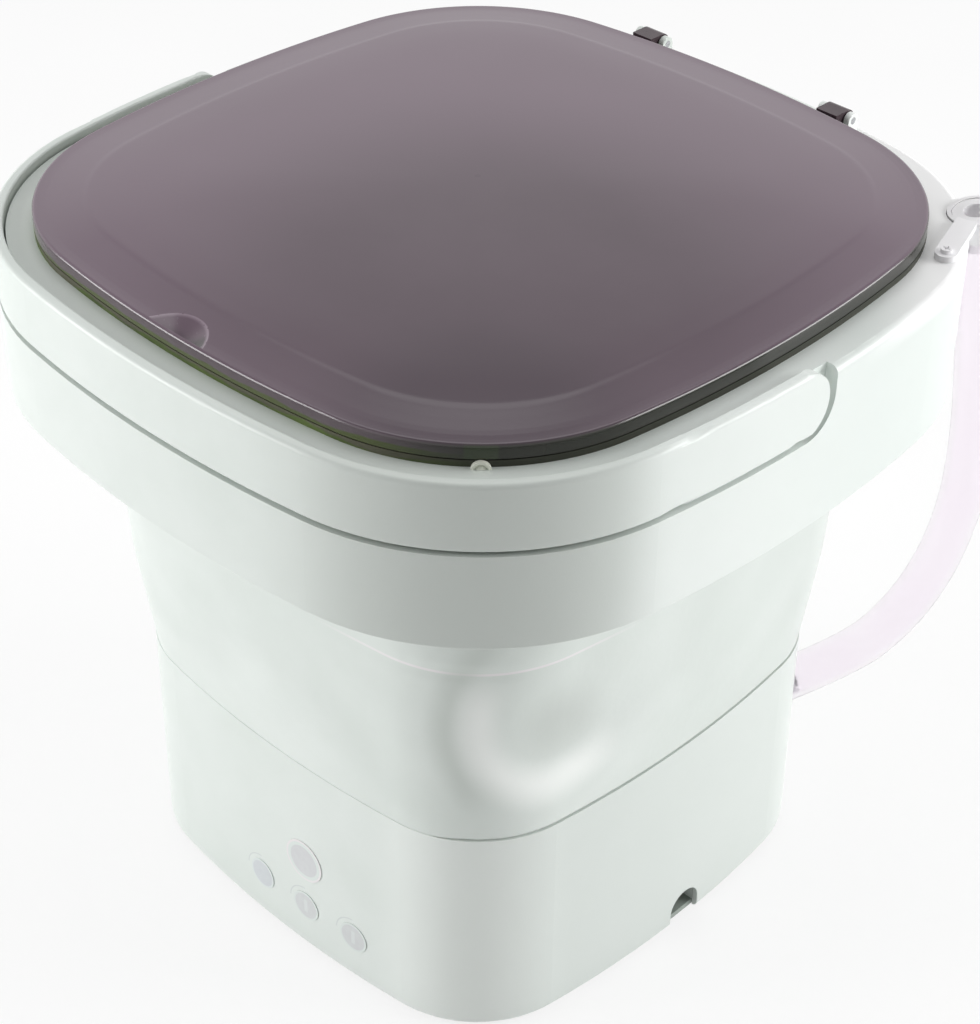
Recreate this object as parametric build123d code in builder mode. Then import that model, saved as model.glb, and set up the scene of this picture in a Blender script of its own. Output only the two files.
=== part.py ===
from build123d import *

import os
from math import acos, asin, atan2, cos, degrees, pi, radians, sin, sqrt, tan

# Plan shape: a rounded square with bowed sides, which every other outline runs parallel to
ring_half = 160.0
ring_side_radius = 530.0
ring_corner_radius = 96.0

# Fits
seat_gap = 0.3
hole_gap = 0.05
press_gap = 0.02
running_gap = 0.08

# Base housing, bottom cover and feet
foot_height = 2.5
foot_radius = 9.0
foot_stem_radius = 3.0
foot_inset = 33.5
base_half = 113.5
base_height = 99.5
housing_wall = 2.5
housing_bottom_round = 3.0
ledge_width = 6.0
ledge_thickness = 6.0
ledge_drop = 5.0
cover_inset = 0.5
cover_thickness = 2.5
cover_boss_radius = 5.0
cover_boss_height = 20.0
cover_boss_sink = 1.5
cover_boss_y = 52.0
vent_count = 5
vent_pitch = 7.0
vent_width = 2.5
vent_length = 34.0

# Screws
screw_radius = 1.5
screw_head_radius = 2.8
screw_head_height = 2.0
screw_wall = 1.0
cross_width = 0.9
cross_length = 3.0
cross_depth = 1.0
small_screw_radius = 1.25
small_screw_head_radius = 2.2
small_screw_head_height = 1.5
screw_hole_radius = screw_radius + hole_gap
small_hole_radius = small_screw_radius + hole_gap

# Inner tub
tub_wall = 2.5
tub_flange_thickness = 2.5
tub_floor_top = 81.5
tub_floor_thickness = 2.5
tub_hub_radius = 14.5
tub_hub_rise = 5.5

# Soft wall and its clamp rings
wall_height = 130.0
wall_thickness = 2.2
wall_foot_thickness = 2.0
wall_foot_inset = 0.3
wall_riser_thickness = 2.2
wall_step_height = 2.2
wall_middle_bulge = 2.6
wall_middle_rise = 46.0
wall_crease_bulge = 2.3
wall_crease_rise = 86.0
wall_top_inset = 10.3
seam_gap = 0.6
clamp_thickness = 2.5
lower_clamp_width = 5.0
lower_clamp_screw_inset = 2.0

# Top ring
ring_height = 62.5
ring_wall = 2.6
ring_bottom_round = 1.2
deck_thickness = 3.0
deck_opening_inset = 25.7
deck_edge_round = 3.0
strap_clearance = 0.7
collar_wall = 2.5
collar_drop = 35.5
collar_shoulder_width = 8.5
collar_flange_gap = 4.2
collar_flange_thickness = 2.5

# Carrying strap
strap_thickness = 4.5
strap_height = 26.5
strap_gap = 1.3
strap_end_gap = 3.5
strap_rise = 3.5
strap_round = 1.8
strap_inner_round = 0.8
pivot_y = -6.0
pivot_stub_radius = 5.0
pivot_cap_radius = 6.4
pivot_cap_thickness = 2.0
pivot_screw_length = 5.0

# Lid, its hinge and its seal
lid_inset = 15.5
lid_thickness = 2.4
lid_skirt_wall = 2.2
lid_skirt_height = 5.7
lid_edge_round = 1.2
lid_shoulder_inset = 4.5
lid_panel_inset = 20.5
lid_panel_rise = 2.4
lid_crown_inset = 74.5
lid_crown_rise = 5.0
finger_x = -3.0
finger_width = 33.0
finger_reach = 13.0
finger_depth = 3.6
lug_x = 48.5
lug_width = 10.0
lug_radius = 3.6
lug_gap = 0.4
hinge_inset = 9.5
hinge_lift = 4.9
hinge_pin_radius = 1.5
ear_width = 2.5
ear_radius = 3.0
ear_sink = 2.5
seal_width = 3.0
seal_height = 2.5

# Control keys and board
key_radius = 7.0
power_key_radius = 10.0
key_thickness = 1.2
key_pocket_depth = 0.9
key_row_z = 25.5
key_step = 26.5
key_middle_x = 15.5
key_rise = 25.0
board_x = 15.5
board_z = 38.0
board_width = 92.0
board_height = 54.0
board_thickness = 1.6
board_standoff = 9.0
board_post_radius = 3.5
board_post_inset = 5.0
chip_size = 12.0
chip_height = 2.0
capacitor_radius = 4.0
capacitor_height = 11.0
connector_length = 16.0
connector_height = 6.0
touch_pad_radius = 6.0

# Power inlet and its notch in the right side
notch_y = 8.5
notch_width = 17.0
notch_height = 15.5
notch_depth = 8.5
notch_wall = 1.6
inlet_width = 12.0
inlet_depth = 12.0
inlet_height = 12.0
inlet_setback = 9.0
socket_radius = 3.2
socket_depth = 8.0
socket_pin_radius = 1.0

# Gear train: motor pinion, compound gear and output gear
pressure_angle = 25.0
tooth_addendum = 0.8
tooth_dedendum = 1.05
tooth_backlash = 0.2
flank_steps = 4
first_module = 0.8
second_module = 1.25
pinion_teeth = 12
wheel_teeth = 48
pinion_width = 6.0
wheel_width = 5.0
output_gear_width = 7.0
gear_hub_radius = 8.0
gear_space = 1.6

# Gearbox case and bearings
gearbox_bottom = 50.0
gearbox_wall = 2.5
gearbox_floor = 2.5
gearbox_cover_thickness = 2.5
gearbox_motor_end_radius = 22.0
gearbox_ear_radius = 6.0
gearbox_ear_overlap = 3.2
gearbox_ear_angle = 45.0
gearbox_tail_ear_angle = 130.0
gearbox_screw_grip = 4.5
bearing_radius = 11.0
bearing_bore = 4.0
bearing_width = 7.0
bearing_seat_wall = 3.0
race_step = 2.2
race_recess = 0.4
seal_radius = 10.0
shaft_seal_width = 4.5
idler_pin_radius = 2.0
idler_boss_height = 1.0
idler_boss_radius = 4.0

# Motor
motor_radius = 18.0
motor_length = 38.0
can_wall = 1.5
motor_nose_radius = 5.0
motor_nose_height = 2.0
motor_shaft_radius = 1.6
motor_screw_spread = 12.5
end_bell_thickness = 5.0
end_bell_boss = 2.5
magnet_thickness = 3.0
magnet_length = 26.0
magnet_angle = 130.0
air_gap = 0.6
core_length = 22.0
core_slots = 5
core_slot_width = 3.0
core_slot_depth = 7.0
commutator_radius = 5.0
commutator_length = 4.0

# Output shaft and pulsator
shaft_drive_size = 5.6
shaft_drive_length = 7.0
pulsator_radius = 78.0
pulsator_floor_gap = 2.0
pulsator_edge = 2.0
pulsator_slope_radius = 45.0
pulsator_slope_rise = 5.0
pulsator_hub_radius = 18.0
pulsator_hub_rise = 14.5
vane_count = 4
vane_length = 50.0
vane_width = 9.0
vane_rise = 9.5
vane_centre_radius = 44.0
vane_taper = 12.0
pulsator_hole_count = 24
pulsator_hole_radius = 1.8
pulsator_hole_ring = 66.0
pulsator_screw_radius = 2.0
pulsator_screw_head_radius = 5.0
pulsator_screw_head_height = 2.0
pulsator_screw_length = 10.0

# Drain
drain_inset = 30.0
drain_hole_radius = 9.0
grate_radius = 12.0
grate_thickness = 1.5
grate_hole_radius = 1.5
grate_hole_ring = 5.0
grate_hole_count = 6
elbow_wall = 1.8
elbow_radius = 8.5
elbow_sump = 12.0
elbow_flange_radius = 13.0
elbow_flange_thickness = 2.5
elbow_inset = 3.5
outlet_z = 66.0
spigot_shoulder_radius = 8.6
spigot_shoulder_length = 1.8
spigot_barb_length = 6.0
spigot_bore_radius = 5.0
barb_bore_radius = 4.6
spigot_plug_length = 11.0

# Hose, its end nozzle and hook
hose_radius = 9.0
hose_bore_radius = 7.0
nozzle_flange = 1.5
nozzle_plug_length = 13.0
nozzle_bore_radius = 5.0
hook_gap = 0.25
hook_wall = 1.6
hook_length = 9.0
hook_rise = 1.8
hook_mouth = 110.0
hook_arm_thickness = 2.5
hook_pad_radius = 4.2
hook_arm_radius = 4.0
hook_pad_inset = 6.9
hook_pad_angle = 24.3
hook_arm_inset = 1.2
hook_arm_angle = 39.7
groove_gap = 2.2

# Heights that follow
base_bottom = foot_height
base_top = base_bottom + base_height
cover_bottom = base_bottom + cover_inset
cover_top = cover_bottom + cover_thickness
ledge_top = base_top - ledge_drop
ledge_bottom = ledge_top - ledge_thickness
wall_foot_bottom = ledge_top + tub_flange_thickness
wall_foot_top = wall_foot_bottom + wall_foot_thickness
wall_bottom = base_top + seam_gap
ring_bottom = base_top + wall_height
deck_top = ring_bottom + ring_height
deck_bottom = deck_top - deck_thickness
collar_bottom = deck_bottom - collar_drop
wall_flange_bottom = collar_bottom + collar_wall
wall_flange_top = wall_flange_bottom + wall_foot_thickness
strap_top = deck_top + strap_rise
strap_bottom = strap_top - strap_height
pivot_z = (strap_top + strap_bottom) / 2
recess_floor = strap_bottom - strap_gap
seal_top = deck_top + seal_height
skirt_bottom = seal_top + seat_gap
lid_edge_z = skirt_bottom + lid_skirt_height
hinge_y = ring_half - hinge_inset
hinge_z = deck_top + hinge_lift
tub_floor_bottom = tub_floor_top - tub_floor_thickness
pulsator_bottom = tub_floor_top + pulsator_floor_gap

# Outlines that follow
lid_half = ring_half - lid_inset
deck_opening_half = ring_half - deck_opening_inset
recess_half = ring_half - strap_thickness - strap_clearance
collar_shoulder_half = deck_opening_half - collar_shoulder_width
collar_flange_half = recess_half - ring_wall - collar_flange_gap
wall_top_half = deck_opening_half - wall_top_inset
foot_spread = base_half - foot_inset
housing_inner = base_half - housing_wall
ledge_inner = housing_inner - ledge_width
tub_flange_half = housing_inner - seat_gap
tub_outer = ledge_inner - seat_gap
tub_inner = tub_outer - tub_wall
riser_inner = tub_flange_half - wall_riser_thickness
clamp_outer = riser_inner - seat_gap
lower_clamp_inner = clamp_outer - lower_clamp_width
lower_clamp_screw_half = clamp_outer - lower_clamp_screw_inset
upper_clamp_screw_half = (deck_opening_half - seat_gap + collar_shoulder_half) / 2
collar_outer = deck_opening_half + collar_wall
collar_screw_half = (collar_outer + collar_flange_half) / 2
strap_inner_half = ring_half - strap_thickness

os.makedirs("parts", exist_ok=True)


def bowed_arcs(half):
    # Centres, radii and half turn of the arcs of a bowed square, parallel to the ring's
    inset = ring_half - half
    side = ring_side_radius - inset
    corner = ring_corner_radius - inset
    side_centre = half - side
    span = side - corner
    corner_centre = (side_centre + sqrt(2 * span**2 - side_centre**2)) / 2
    turn = degrees(atan2(corner_centre, corner_centre - side_centre))
    return side, corner, side_centre, corner_centre, turn


def bowed_square(half, mode=Mode.ADD):
    # A rounded square with bowed sides, as a face in the sketch that is open
    side, corner, side_centre, corner_centre, turn = bowed_arcs(half)
    with BuildLine() as outline:
        for quarter in range(4):
            angle = 90 * quarter
            middle = Vector(side_centre, 0).rotate(Axis.Z, angle)
            CenterArc(middle, side, angle - turn, 2 * turn)
            middle = Vector(corner_centre, corner_centre).rotate(Axis.Z, angle)
            CenterArc(middle, corner, angle + turn, 90 - 2 * turn)
    make_face(outline.edges(), mode=mode)


def corner_reach(half):
    # Distance from the centre to the outline along the diagonal
    side, corner, side_centre, corner_centre, turn = bowed_arcs(half)
    return corner_centre * sqrt(2) + corner


def around(half):
    # The middles of the four sides and of the four corners of an outline
    corner = corner_reach(half) / sqrt(2)
    spots = []
    for quarter in range(4):
        spots.append(Vector(half, 0).rotate(Axis.Z, 90 * quarter))
        spots.append(Vector(corner, corner).rotate(Axis.Z, 90 * quarter))
    return [(spot.X, spot.Y) for spot in spots]


def band(outer, inner, low, high, mode=Mode.ADD):
    # A frame between two outlines
    with BuildSketch(Plane.XY.offset(low)) as section:
        bowed_square(outer)
        bowed_square(inner, mode=Mode.SUBTRACT)
    extrude(section.sketch, amount=high - low, mode=mode)


def slab(half, low, high, mode=Mode.ADD):
    # A plate with the bowed outline
    with BuildSketch(Plane.XY.offset(low)) as section:
        bowed_square(half)
    extrude(section.sketch, amount=high - low, mode=mode)


def rods(spots, radius, low, high, mode=Mode.ADD):
    # Upright rods, or holes where mode is Mode.SUBTRACT
    with BuildSketch(Plane.XY.offset(low)) as section:
        with Locations(*spots):
            Circle(radius)
    extrude(section.sketch, amount=high - low, mode=mode)


def tube_along(start, direction, radius, length, mode=Mode.ADD):
    # A rod from a point along a direction
    with BuildSketch(Plane(origin=start, z_dir=direction)) as section:
        Circle(radius)
    extrude(section.sketch, amount=length, mode=mode)


def screws(spots, tip, seat, shank, head, height):
    # Upright screws whose heads lie beyond the seat, with a crossed slot
    outward = 1 if seat > tip else -1
    rods(spots, shank, tip, seat)
    rods(spots, head, seat, seat + outward * height)
    with BuildSketch(Plane.XY.offset(seat + outward * height)) as slots:
        with Locations(*spots):
            Rectangle(cross_length, cross_width)
            Rectangle(cross_width, cross_length)
    extrude(slots.sketch, amount=-outward * cross_depth, mode=Mode.SUBTRACT)


def outer_loop(part, height, half):
    # The edges of the outermost outline at one height
    level = part.edges().filter_by_position(Axis.Z, height - 0.01, height + 0.01)
    return level.filter_by(lambda edge: Vector((edge @ 0.5).X, (edge @ 0.5).Y).length > half - 0.5)


def inner_loop(part, height, half):
    # The edges of an inner outline at one height, which lie nearer than the given half width
    level = part.edges().filter_by_position(Axis.Z, height - 0.01, height + 0.01)
    limit = corner_reach(half) + 0.5
    return level.filter_by(lambda edge: Vector((edge @ 0.5).X, (edge @ 0.5).Y).length < limit)


def corner_spot(half, angle):
    # A point on the rounded corner of an outline
    side, corner, side_centre, corner_centre, turn = bowed_arcs(half)
    return (corner_centre + corner * cos(radians(angle)), corner_centre + corner * sin(radians(angle)))


def notch_arch(gap, low):
    # The notch's arch, wider by a gap, from a low level up, as faces in the sketch that is open
    radius = notch_width / 2 + gap
    centre_z = base_bottom + notch_height - notch_width / 2
    with Locations((notch_y, centre_z)):
        Circle(radius)
        Rectangle(2 * radius, radius, align=(Align.CENTER, Align.MAX), mode=Mode.SUBTRACT)
        Rectangle(2 * radius, centre_z - low, align=(Align.CENTER, Align.MAX))


def front_plane(x, z):
    # A plane on the base's bowed front, facing out
    side = bowed_arcs(base_half)[0]
    angle = asin(x / side)
    origin = (x, side - base_half - side * cos(angle), z)
    return Plane(origin=origin, x_dir=(cos(angle), sin(angle), 0), z_dir=(sin(angle), -cos(angle), 0))


def save(part, name):
    part.label = name
    export_step(part, f"parts/{name}.step")


# Spots shared between pieces
foot_spots = {
    "foot_front_left": (-foot_spread, -foot_spread),
    "foot_front_right": (foot_spread, -foot_spread),
    "foot_back_left": (-foot_spread, foot_spread),
    "foot_back_right": (foot_spread, foot_spread),
}
side_radius = bowed_arcs(housing_inner)[0]
cover_boss_x = housing_inner - cover_boss_y**2 / (2 * side_radius) - cover_boss_radius + cover_boss_sink
cover_spots = [(x * cover_boss_x, y * cover_boss_y) for x in (-1, 1) for y in (-1, 1)]
key_spots = {
    "timer_key": (key_middle_x - key_step, key_row_z, key_radius),
    "start_key": (key_middle_x, key_row_z, key_radius),
    "spin_key": (key_middle_x + key_step, key_row_z, key_radius),
    "power_key": (key_middle_x, key_row_z + key_rise, power_key_radius),
}
board_front = -housing_inner + board_standoff
board_spots = [
    (board_x + x * (board_width / 2 - board_post_inset), board_z + z * (board_height / 2 - board_post_inset))
    for x in (-1, 1)
    for z in (-1, 1)
]
idler_x = -second_module * (pinion_teeth + wheel_teeth) / 2
motor_x = idler_x - first_module * (pinion_teeth + wheel_teeth) / 2
output_tip = second_module * (wheel_teeth / 2 + tooth_addendum)
gearbox_head_radius = output_tip + gear_space + gearbox_wall
head_ear = gearbox_head_radius + gearbox_ear_radius - gearbox_ear_overlap
tail_ear = gearbox_motor_end_radius + gearbox_ear_radius - gearbox_ear_overlap
gearbox_spots = []
for turn_sign in (-1, 1):
    angle = radians(turn_sign * gearbox_ear_angle)
    gearbox_spots.append((head_ear * cos(angle), head_ear * sin(angle)))
    angle = radians(turn_sign * gearbox_tail_ear_angle)
    gearbox_spots.append((motor_x + tail_ear * cos(angle), tail_ear * sin(angle)))

# Levels of the gear train, from the gearbox floor up
case_floor = gearbox_bottom + gearbox_floor
idler_boss_top = case_floor + idler_boss_height
wheel_bottom = idler_boss_top + seat_gap
wheel_top = wheel_bottom + wheel_width
lower_bearing_top = case_floor + bearing_width
output_gear_bottom = max(wheel_top, lower_bearing_top) + gear_space
output_gear_top = output_gear_bottom + output_gear_width
cover_seat = output_gear_top + gear_space + idler_boss_height
cover_plate_top = cover_seat + gearbox_cover_thickness
upper_bearing_bottom = cover_plate_top + seat_gap
upper_bearing_top = upper_bearing_bottom + bearing_width
seal_shelf = upper_bearing_top + seat_gap
seal_bottom = seal_shelf + 1.0
hub_top = tub_floor_top + tub_hub_rise

# The hose's route, in the plane of the back right corner: reach from the centre, and height
diagonal = Vector(1, 1, 0).normalized()
hose_route = [
    (129.0, 68.6),
    (156.5, 83.8),
    (173.5, 102.0),
    (187.1, 128.8),
    (194.5, 160.9),
    (195.4, 195.9),
    (193.0, 230.8),
    (188.6, 266.5),
    (184.4, 295.0),
]
hose_points = [diagonal * reach + Vector(0, 0, height) for reach, height in hose_route]
outlet_direction = (hose_points[1] - hose_points[0]).normalized()
hose_end = hose_points[-1]
hose_end_direction = (hose_points[-1] - hose_points[-2]).normalized()

# Base housing: outer shell, tub ledge, cover bosses, board posts, key pockets, notch and outlet
with BuildPart() as base_housing:
    slab(base_half, base_bottom, base_top)
    fillet(outer_loop(base_housing, base_bottom, base_half), housing_bottom_round)
    slab(housing_inner, base_bottom, base_top, mode=Mode.SUBTRACT)
    band(base_half - housing_wall / 2, ledge_inner, ledge_bottom, ledge_top)
    rods(cover_spots, cover_boss_radius, cover_top, cover_top + cover_boss_height)
    pilot_top = cover_top + cover_boss_height - screw_wall
    rods(cover_spots, screw_hole_radius, cover_top, pilot_top, Mode.SUBTRACT)
    with BuildSketch(Plane.XZ.offset(-board_front)) as posts:
        with Locations(*board_spots):
            Circle(board_post_radius)
    extrude(posts.sketch, amount=board_standoff + housing_wall)
    band(2 * base_half, base_half - housing_wall / 2, cover_top, ledge_bottom, mode=Mode.SUBTRACT)
    band(base_half, housing_inner, cover_top, ledge_bottom)
    with BuildSketch(Plane.XZ.offset(-board_front)) as pilots:
        with Locations(*board_spots):
            Circle(small_hole_radius)
    extrude(pilots.sketch, amount=board_standoff - screw_wall, mode=Mode.SUBTRACT)
    for x, z, radius in key_spots.values():
        with BuildSketch(front_plane(x, z)) as pocket:
            Circle(radius + hole_gap)
        extrude(pocket.sketch, amount=-key_pocket_depth, mode=Mode.SUBTRACT)
    with BuildSketch(Plane.YZ.offset(housing_inner - housing_wall)) as notch:
        notch_arch(0, 0)
    extrude(notch.sketch, amount=3 * housing_wall, mode=Mode.SUBTRACT)
    tube_along(
        hose_points[0] - outlet_direction * 2 * housing_wall,
        outlet_direction,
        hose_radius + hole_gap,
        8 * housing_wall,
        Mode.SUBTRACT,
    )
    rods(around(lower_clamp_screw_half), small_hole_radius, ledge_bottom, ledge_top, Mode.SUBTRACT)
save(base_housing.part, "base_housing")

# Bottom cover with vents under the motor
with BuildPart() as bottom_cover:
    slab(housing_inner - seat_gap, cover_bottom, cover_top)
    rods(foot_spots.values(), foot_stem_radius + hole_gap, cover_bottom, cover_top, Mode.SUBTRACT)
    rods(cover_spots, screw_hole_radius, cover_bottom, cover_top, Mode.SUBTRACT)
    with BuildSketch(Plane.XY.offset(cover_bottom)) as vents:
        with Locations((motor_x, 0)):
            with GridLocations(vent_pitch, 0, vent_count, 1):
                SlotOverall(vent_length, vent_width, rotation=90)
    extrude(vents.sketch, amount=cover_thickness, mode=Mode.SUBTRACT)
save(bottom_cover.part, "bottom_cover")

# Shroud on the cover behind the notch, which guides a plug to the power inlet
with BuildPart() as inlet_shroud:
    with BuildSketch(Plane.YZ.offset(base_half - notch_depth)) as outer_arch:
        notch_arch(notch_wall, cover_top)
    extrude(outer_arch.sketch, amount=notch_depth)
    slab(housing_inner - seat_gap, 0, base_height, mode=Mode.INTERSECT)
    with BuildSketch(Plane.YZ.offset(base_half - 2 * notch_depth)) as inner_arch:
        notch_arch(0, 0)
    extrude(inner_arch.sketch, amount=3 * notch_depth, mode=Mode.SUBTRACT)
save(inlet_shroud.part, "inlet_shroud")

# Rubber feet, each with a stem through the cover
for name, spot in foot_spots.items():
    with BuildPart() as foot:
        rods([spot], foot_radius, 0, cover_bottom)
        fillet(foot.edges().group_by(Axis.Z)[0], foot_height / 3)
        rods([spot], foot_stem_radius, cover_bottom, cover_top)
    save(foot.part, name)

# Cover screws, driven up into the housing's bosses
with BuildPart() as cover_screws:
    screws(
        cover_spots,
        cover_top + cover_boss_height - 4 * screw_wall,
        cover_bottom,
        screw_radius,
        screw_head_radius,
        screw_head_height,
    )
save(cover_screws.part, "cover_screws")

# Inner tub: floor with drain hole, bearing hub, gearbox bosses and rim flange
drain_reach = corner_reach(tub_inner) - drain_inset
drain_spot = (drain_reach / sqrt(2), drain_reach / sqrt(2))
with BuildPart() as lower_tub:
    slab(tub_outer, tub_floor_bottom, wall_foot_bottom)
    slab(tub_inner, tub_floor_top, wall_foot_bottom, mode=Mode.SUBTRACT)
    band(tub_flange_half, tub_inner, ledge_top, wall_foot_bottom)
    rods([(0, 0)], tub_hub_radius, cover_plate_top, hub_top)
    rods([(0, 0)], bearing_radius + press_gap, cover_plate_top, seal_shelf, Mode.SUBTRACT)
    rods([(0, 0)], seal_radius - screw_wall, seal_shelf, seal_bottom, Mode.SUBTRACT)
    rods([(0, 0)], seal_radius + press_gap, seal_bottom, hub_top, Mode.SUBTRACT)
    rods(gearbox_spots, gearbox_ear_radius, cover_plate_top, tub_floor_bottom)
    rods(gearbox_spots, screw_hole_radius, cover_plate_top, tub_floor_bottom + screw_wall, Mode.SUBTRACT)
    rods([drain_spot], drain_hole_radius, tub_floor_bottom, tub_floor_top, Mode.SUBTRACT)
    rods(around(lower_clamp_screw_half), small_hole_radius, ledge_top, wall_foot_bottom, Mode.SUBTRACT)
save(lower_tub.part, "lower_tub")

# Soft wall: foot on the tub flange, sleeve in three slopes, flange inside the ring
wall_foot_half = base_half - wall_foot_inset
wall_spread = (wall_top_half - wall_foot_half) / (wall_flange_top - wall_bottom)
wall_levels = [
    (wall_bottom, wall_foot_half),
    (wall_bottom + wall_middle_rise, wall_foot_half + wall_middle_rise * wall_spread + wall_middle_bulge),
    (wall_bottom + wall_crease_rise, wall_foot_half + wall_crease_rise * wall_spread + wall_crease_bulge),
    (wall_flange_top, wall_top_half),
]
with BuildPart() as soft_wall:
    for inward in (0, wall_thickness):
        sections = []
        for height, half in wall_levels:
            with BuildSketch(Plane.XY.offset(height)) as level:
                bowed_square(half - inward)
            sections.append(level.sketch)
        loft(sections, ruled=True, mode=Mode.SUBTRACT if inward else Mode.ADD)
    band(tub_flange_half, lower_clamp_inner + seat_gap, wall_foot_bottom, wall_foot_top)
    band(tub_flange_half, riser_inner, wall_foot_top, wall_bottom)
    band(wall_foot_half, riser_inner, wall_bottom, wall_bottom + wall_step_height)
    band(deck_opening_half - seat_gap, wall_top_half - wall_thickness, wall_flange_bottom, wall_flange_top)
    rods(around(lower_clamp_screw_half), small_hole_radius, wall_foot_bottom, wall_foot_top, Mode.SUBTRACT)
    upper_spots = around(upper_clamp_screw_half)
    rods(upper_spots, small_hole_radius, wall_flange_bottom, wall_flange_top, Mode.SUBTRACT)
save(soft_wall.part, "soft_wall")

# Lower clamp ring and its screws
lower_clamp_top = wall_foot_top + clamp_thickness
with BuildPart() as lower_clamp_ring:
    band(clamp_outer, lower_clamp_inner, wall_foot_top, lower_clamp_top)
    rods(around(lower_clamp_screw_half), small_hole_radius, wall_foot_top, lower_clamp_top, Mode.SUBTRACT)
save(lower_clamp_ring.part, "lower_clamp_ring")

with BuildPart() as lower_clamp_screws:
    screws(
        around(lower_clamp_screw_half),
        ledge_bottom + screw_wall,
        lower_clamp_top,
        small_screw_radius,
        small_screw_head_radius,
        small_screw_head_height,
    )
save(lower_clamp_screws.part, "lower_clamp_screws")

# Recess for the strap: its side view, as a space and as the lining round it
pivot_reach = strap_height / 2
recess_end_y = pivot_y + strap_end_gap - strap_gap


def recess_side(gap, top):
    # Side view of the strap's recess in the YZ plane, wider than the strap by a gap
    radius = pivot_reach + gap
    end = (recess_end_y + radius, pivot_z)
    foot = (recess_end_y, pivot_z - radius)
    with BuildLine() as side:
        Polyline((-2 * ring_half, pivot_z - radius), (-2 * ring_half, top), (recess_end_y + radius, top), end)
        RadiusArc(end, foot, radius)
        Line(foot, (-2 * ring_half, pivot_z - radius))
    make_face(side.edges())


with BuildPart() as recess_space:
    band(ring_half + 2 * strap_thickness, recess_half, recess_floor, 2 * deck_top)
    with BuildSketch(Plane.YZ) as side_view:
        recess_side(strap_gap, 2 * deck_top)
    extrude(side_view.sketch, amount=2 * ring_half, both=True, mode=Mode.INTERSECT)

lining_top = deck_bottom + deck_thickness / 2
with BuildPart() as recess_lining:
    band(ring_half - ring_wall / 2, recess_half - ring_wall, recess_floor - ring_wall, lining_top)
    with BuildSketch(Plane.YZ) as side_view:
        recess_side(strap_gap + ring_wall, lining_top)
    extrude(side_view.sketch, amount=2 * ring_half, both=True, mode=Mode.INTERSECT)

# Top ring: skirt, deck, strap recess, hinge ears and hose groove
hook_pad = corner_spot(ring_half - hook_pad_inset, hook_pad_angle)
groove_radius = hose_radius + groove_gap
groove_start = hose_end - hose_end_direction * 2 * ring_height
ear_offset = lug_width / 2 + lug_gap + ear_width / 2
ear_spots = [side * lug_x + offset for side in (-1, 1) for offset in (-ear_offset, ear_offset)]
with BuildPart() as top_ring:
    slab(ring_half, ring_bottom, deck_top)
    fillet(outer_loop(top_ring, deck_top, ring_half), deck_edge_round)
    fillet(outer_loop(top_ring, ring_bottom, ring_half), ring_bottom_round)
    slab(ring_half - ring_wall, ring_bottom, deck_bottom, mode=Mode.SUBTRACT)
    slab(deck_opening_half, deck_bottom, deck_top, mode=Mode.SUBTRACT)
    add(recess_lining.part)
    tube_along(groove_start, hose_end_direction, groove_radius + ring_wall, 3 * ring_height)
    band(2 * ring_half, ring_half, 0, 2 * deck_top, mode=Mode.SUBTRACT)
    slab(2 * ring_half, deck_top, 2 * deck_top, mode=Mode.SUBTRACT)
    slab(2 * ring_half, 0, ring_bottom, mode=Mode.SUBTRACT)
    tube_along(groove_start, hose_end_direction, groove_radius, 3 * ring_height, Mode.SUBTRACT)
    add(recess_space.part, mode=Mode.SUBTRACT)
    for x in ear_spots:
        with BuildSketch(Plane.YZ.offset(x - ear_width / 2)) as ear:
            with Locations((hinge_y, hinge_z)):
                Circle(ear_radius)
            with Locations((hinge_y, (hinge_z + deck_top - ear_sink) / 2)):
                Rectangle(2 * ear_radius, hinge_z - deck_top + ear_sink)
        extrude(ear.sketch, amount=ear_width)
        ear_hole = hinge_pin_radius + press_gap
        tube_along((x - ear_width, hinge_y, hinge_z), (1, 0, 0), ear_hole, 2 * ear_width, Mode.SUBTRACT)
    stub_hole = pivot_stub_radius + running_gap
    tube_along((-ring_half, pivot_y, pivot_z), (1, 0, 0), stub_hole, 2 * ring_half, Mode.SUBTRACT)
    rods(around(collar_screw_half), screw_hole_radius, deck_bottom, deck_top - screw_wall, Mode.SUBTRACT)
    rods([hook_pad], small_hole_radius, deck_bottom, deck_top, Mode.SUBTRACT)
save(top_ring.part, "top_ring")

# Inner collar: neck inside the deck's opening, with the shoulder that carries the soft wall
with BuildPart() as inner_collar:
    band(collar_outer, deck_opening_half, collar_bottom, deck_bottom)
    band(collar_flange_half, deck_opening_half, deck_bottom - collar_flange_thickness, deck_bottom)
    band(collar_outer, collar_shoulder_half, collar_bottom, wall_flange_bottom)
    rods(
        around(collar_screw_half),
        screw_hole_radius,
        deck_bottom - collar_flange_thickness,
        deck_bottom,
        Mode.SUBTRACT,
    )
    rods(upper_spots, small_hole_radius, collar_bottom, wall_flange_bottom, Mode.SUBTRACT)
save(inner_collar.part, "inner_collar")

with BuildPart() as collar_screws:
    screws(
        around(collar_screw_half),
        deck_top - 1.5 * screw_wall,
        deck_bottom - collar_flange_thickness,
        screw_radius,
        screw_head_radius,
        screw_head_height,
    )
save(collar_screws.part, "collar_screws")

# Upper clamp ring and its screws
upper_clamp_top = wall_flange_top + clamp_thickness
with BuildPart() as upper_clamp_ring:
    band(deck_opening_half - seat_gap, collar_shoulder_half, wall_flange_top, upper_clamp_top)
    rods(upper_spots, small_hole_radius, wall_flange_top, upper_clamp_top, Mode.SUBTRACT)
save(upper_clamp_ring.part, "upper_clamp_ring")

with BuildPart() as upper_clamp_screws:
    screws(
        upper_spots,
        collar_bottom + 0.5 * screw_wall,
        upper_clamp_top,
        small_screw_radius,
        small_screw_head_radius,
        small_screw_head_height,
    )
save(upper_clamp_screws.part, "upper_clamp_screws")

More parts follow.
